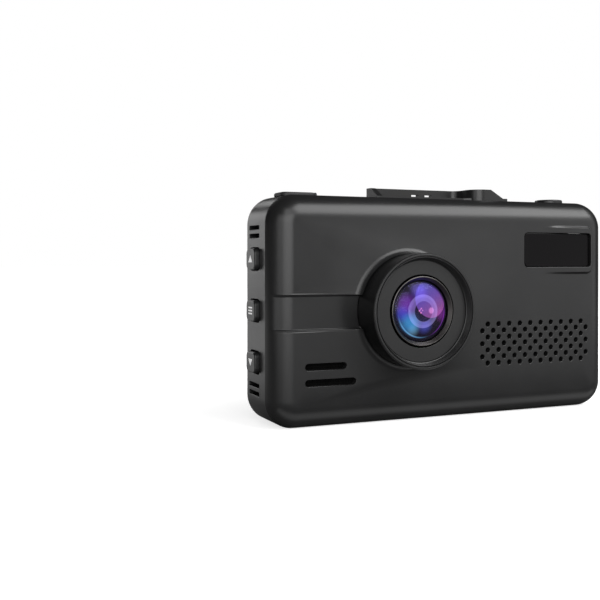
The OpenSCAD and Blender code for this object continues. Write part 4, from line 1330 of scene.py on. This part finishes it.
CASE = (0.013, 0.013, 0.0133)
materials = {
    "case_plastic": moulded("case_satin_plastic", CASE, 0.3),
    "cap_plastic": moulded("cap_satin_plastic", (0.014, 0.014, 0.0145), 0.33, grain=6000.0),
    # The hood's plastic, darker than the case so that its side reads black: partly its own colour, partly
    # painted shade.
    "hood_plastic": moulded("hood_black_plastic", (0.005, 0.005, 0.0052), 0.32, grain=7000.0,
                            depth=0.003, specular_IOR_level=0.22),
    "inner_plastic": moulded("inner_glassfilled_plastic", (0.03, 0.03, 0.032), 0.55, grain=2500.0, depth=0.01),
    "black_metal": metal("barrel_anodised_black", (0.03, 0.03, 0.033), 0.4, (1, 12, 1)),
    "bright_ring": metal("ring_satin_metal", (0.1, 0.095, 0.093), 0.33, (1, 9, 1), depth=0.001),
    "chip_black": moulded("chip_epoxy", (0.02, 0.02, 0.022), 0.5, grain=4000.0),
    "tin_plate": metal("tin_plated_steel", (0.62, 0.62, 0.63), 0.3, (8, 1, 1)),
    "window_plastic": polished("infrared_window_plastic", (0.004, 0.0035, 0.004), 0.22, specular_IOR_level=0.1),
    "mesh_cloth": fabric("acoustic_mesh", (0.004, 0.004, 0.004), 0.35, 0.05),
    "cone_paper": fibrous("cone_pulp", (0.05, 0.048, 0.045), 0.8),
    "die_cast": metal("die_cast_zinc", (0.5, 0.5, 0.49), 0.45, (1, 1, 1), grain=900.0, depth=0.01),
    "circuit_board": circuit("solder_mask_green", (0.012, 0.1, 0.035)),
    "antenna_ceramic": fibrous("antenna_ceramic", (0.6, 0.5, 0.38), 0.45),
    "sleeve_plastic": moulded("capacitor_sleeve", (0.02, 0.05, 0.11), 0.35, grain=1500.0),
    "connector_plastic": moulded("connector_nylon", (0.62, 0.58, 0.5), 0.45, grain=3000.0),
    "port_rubber": moulded("port_soft_rubber", (0.015, 0.015, 0.016), 0.58, grain=3800.0, depth=0.008),
    "gold_contact": metal("contact_gold_plate", (0.78, 0.55, 0.22), 0.25, (1, 6, 1)),
    "screw_steel": metal("screw_zinc_steel", (0.42, 0.42, 0.44), 0.34, (1, 5, 1)),
    "screen_gloss": moulded("screen_satin_plate", (0.02, 0.02, 0.021), 0.36, grain=9000.0, depth=0.002),
    "lcd_glass": polished("display_glass", (0.006, 0.006, 0.007), 0.16),
    "diffuser_white": fibrous("backlight_diffuser", (0.8, 0.8, 0.78), 0.6),
    "flex_film": polished("flex_polyimide", (0.45, 0.2, 0.04), 0.3),
    "coated_glass": coated_glass("front_glass_coated", (0.75, 0.4, 0.8), (0.4, 0.35, 0.95), 0.008),
}
lamps = {
    "lamp_white": lamp("display_white", (0.85, 0.87, 0.9), 0.9),
    "lamp_red": lamp("display_red", (0.75, 0.03, 0.025), 0.9),
    "bar_red": lamp("display_bar_red", (0.5, 0.04, 0.03), 0.7),
    "bar_dark": lamp("display_bar_dark", (0.06, 0.01, 0.01), 0.5),
    "lamp_blue": lamp("display_blue", (0.015, 0.12, 0.62), 0.9),
    "lamp_green": lamp("display_green", (0.015, 0.28, 0.045), 0.9),
    "ink": lamp("display_ink", (0.008, 0.008, 0.01), 0.2),
}
lens_reflection_material = painted_lens_reflections()
# A lighter, glossier copy of the hood's plastic for its rim and baffles: painted light.
hood_rim_lit_copy = moulded("hood_rim_satin_lit_copy", (0.012, 0.012, 0.0124), 0.3, grain=7000.0, depth=0.003)
# White print on the keys; its emission adds a faint painted glow.
glowing_icon_material = moulded("key_sign_ink_painted_glow", (0.82, 0.82, 0.82), 0.5, grain=5000.0, depth=0.002,
                        emission_strength=0.3)


def wear(obj, material):
    if obj.data.materials:
        obj.data.materials[0] = material
    else:
        obj.data.materials.append(material)


def fit(obj, body_name, nodes, slot_name, material=None):
    """Hangs a finished piece on its body, hides the CAD nodes it stands for, and gives it its finish."""
    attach(obj, body_name)
    if nodes:
        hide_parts(*nodes)
    wear(obj, material or materials[slot_name])
    return obj


# ---------- assembly ----------

for part in frame["record"]["subparts"]:
    wear(frame["nodes"][part["node"]], materials[part["material_slot"]])

fit(front_shell(), HOUSING, ["front_shell"], "case_plastic")
fit(rear_cover(), HOUSING, ["rear_cover"], "case_plastic")
fit(screen_window(), HOUSING, ["screen_window"], "screen_gloss")
fit(display_face(), HOUSING, ["lcd_panel"], "lcd_glass")
fit(mic_felt(), HOUSING, [], "mesh_cloth")
for piece in screen_picture():
    fit(piece, HOUSING, [], "lcd_glass", lamps[piece["colour"]])
hood = fit(lens_hood(), HOUSING, ["lens_hood"], "hood_plastic")
hood.data.materials.append(hood_rim_lit_copy)
fit(lens_face_plate(), HOUSING, ["lens_face_plate"], "hood_plastic", materials["case_plastic"])
fit(lens_trim_ring(), HOUSING, ["lens_trim_ring"], "bright_ring")
fit(lens_barrel(), HOUSING, ["lens_barrel"], "black_metal")
fit(dome("front_glass_dome", GLASS_R, GLASS_Y, GLASS_CURVE, -16.4), HOUSING, ["front_glass"], "coated_glass")
fit(dome("middle_glass_dome", 5.15, -14.6, 9.0, -11.6), HOUSING, ["middle_element"], "coated_glass")
# The dome under the front glass glows with the lens's painted reflections.
fit(painted_reflection_shell(), HOUSING, [], "coated_glass", lens_reflection_material)
fit(laser_window(), HOUSING, ["laser_window"], "window_plastic")
for name in cap_boxes:
    fit(side_key(name), name, [name], "cap_plastic")
icons = {
    "button_up": [[(-1.3, -0.8), (1.3, -0.8), (0, 0.9)]],
    "button_menu": [[(-1.3, h), (1.3, h), (1.3, h + 0.36), (-1.3, h + 0.36)] for h in (-0.9, -0.18, 0.54)],
    "button_down": [[(-1.3, 0.8), (0, -0.9), (1.3, 0.8)]],
}
for name, strokes in icons.items():
    fit(key_icon(name, strokes), name, [], "cap_plastic", glowing_icon_material)
fit(power_button(), "power_button", ["power_button"], "cap_plastic")
fit(port_cover(), "port_cover", ["port_cover"], "port_rubber")
fit(hinge_bead(), "port_cover", [], "port_rubber")
fit(port_strap(), HOUSING, [], "port_rubber")
fit(slot_cloth(), HOUSING, ["vent_mesh"], "mesh_cloth")


# ---------- studio ----------

TARGET = Vector((-0.0138, -0.012, 0.028))      # about the lens's foot, which every lamp faces
CAMERA_AT = (-0.1215, -0.1988, 0.0405)
CAMERA_TURN = math.radians(-22.9)
FLOOR_RADII = (1e-6, 0.05, 0.1, 0.2, 0.4, 0.8, 1.6, 4.0)
GLOW_AT = (-0.17, 0.33, 0)                     # lit part of the floor behind the object
STRIP_Y = -0.0138                              # lit strip under the front's lower edge
STRIP_HALF_L = 0.055
# name, direction from the target, distance, size, how bright its face is, shape
LAMPS = [
    ("top_box", (0.45, -0.48, 0.7), 0.6, (0.6, 0.38), 4.4, "RECTANGLE"),
    ("left_box", (-0.31, -0.95, 0.11), 0.6, (0.47, 0.56), 3.2, "RECTANGLE"),
    ("far_left_box", (-0.82, -0.57, 0.11), 0.6, (0.24, 0.5), 1.3, "RECTANGLE"),
    ("upper_left_box", (-0.28, -0.62, 0.65), 0.6, (0.28, 0.2), 2.2, "RECTANGLE"),
    ("right_disc", (0.731, -0.65, 0.206), 0.5, (0.57, 0.57), 0.84, "DISK"),
    ("back_box", (-0.26, 0.966, 0.08), 1.0, (0.32, 0.5), 1.8, "RECTANGLE"),
    ("back_top_box", (-0.08, 0.86, 0.5), 1.0, (0.25, 0.2), 3.0, "RECTANGLE"),
]


def soft_lamp(name, direction, distance, size, radiance, shape):
    data = bpy.data.lights.new(name, "AREA")
    data.shape = shape
    data.size, data.size_y = size
    data.energy = radiance * math.pi * size[0] * size[1] * (math.pi / 4 if shape == "DISK" else 1)
    obj = add_object(name, data)
    obj.location = TARGET + Vector(direction).normalized() * distance
    obj.rotation_euler = (TARGET - obj.location).to_track_quat("-Z", "Y").to_euler()


def floor():
    """A wide round floor: pale to the eye, dimmer as light, with lit parts for the case to reflect."""
    skin = Skin()
    skin.grid([[(r * c / MM, r * s / MM, 0) for c, s in ring_loop(1, 96)] for r in FLOOR_RADII])
    obj = skin.build("studio_floor")
    s = Shader("studio_floor_white", (0.86, 0.86, 0.86), 0.7, emission_strength=1.0, specular_IOR_level=0.0)
    pale = s.ramp(s.noise(9.0), [(0.3, (0.84, 0.84, 0.84)), (0.7, (0.87, 0.87, 0.87))])
    seen = s.node("ShaderNodeLightPath").outputs["Is Camera Ray"]
    s.colour(s.blend(seen, (0.15, 0.15, 0.15), pale))
    glow = s.ramp(s.vector("LENGTH", s.place), [(0.15, 0.72), (0.6, 1.0)])
    beside = s.math("MULTIPLY", s.vector("DISTANCE", s.place, GLOW_AT), 2.8)
    behind = s.ramp(beside, [(0.55, 0.8), (1.0, 0.0)])
    split = s.node("ShaderNodeSeparateXYZ")
    s.link(s.place, split.inputs["Vector"])
    off_y = s.math("ABSOLUTE", s.math("SUBTRACT", split.outputs["Y"], STRIP_Y))
    off_x = s.math("LESS_THAN", s.math("ABSOLUTE", split.outputs["X"]), STRIP_HALF_L)
    strip = s.ramp(s.math("MULTIPLY", off_y, 100.0), [(0.12, 0.6), (0.3, 0.0)])
    front = s.ramp(s.math("MULTIPLY", split.outputs["Y"], -10.0), [(0.4, 0.0), (0.65, 0.4)])
    bounce = s.math("ADD", s.math("ADD", behind, front), s.math("MULTIPLY", strip, off_x))
    s.link(s.blend(seen, bounce, glow), s.bsdf.inputs["Emission Color"])
    wear(obj, s.material)


def surroundings():
    """White to the eye; dim as light, so that the lamps shape the case."""
    world = bpy.data.worlds.new("studio_world")
    bpy.context.scene.world = world
    world.use_nodes = True
    tree = world.node_tree
    out = next(n for n in tree.nodes if n.type == "OUTPUT_WORLD")
    background = next(n for n in tree.nodes if n.type == "BACKGROUND")
    background.inputs["Color"].default_value = (1, 1, 1, 1)
    background.inputs["Strength"].default_value = 1.0
    dim = tree.nodes.new("ShaderNodeBackground")
    dim.inputs["Strength"].default_value = 0.035
    seen = tree.nodes.new("ShaderNodeLightPath")
    mix = tree.nodes.new("ShaderNodeMixShader")
    tree.links.new(seen.outputs["Is Camera Ray"], mix.inputs[0])
    tree.links.new(dim.outputs[0], mix.inputs[1])
    tree.links.new(background.outputs[0], mix.inputs[2])
    tree.links.new(mix.outputs[0], out.inputs["Surface"])


def camera():
    data = bpy.data.cameras.new("camera")
    data.lens = 51.9
    data.sensor_width = 36.0
    data.clip_start = 0.01
    data.shift_y = -0.068
    obj = add_object("camera", data)
    obj.location = CAMERA_AT
    obj.rotation_euler = (math.radians(90), 0, CAMERA_TURN)
    bpy.context.scene.camera = obj


floor()
surroundings()
camera()
for lamp_values in LAMPS:
    soft_lamp(*lamp_values)
bpy.context.scene.view_settings.view_transform = "Standard"
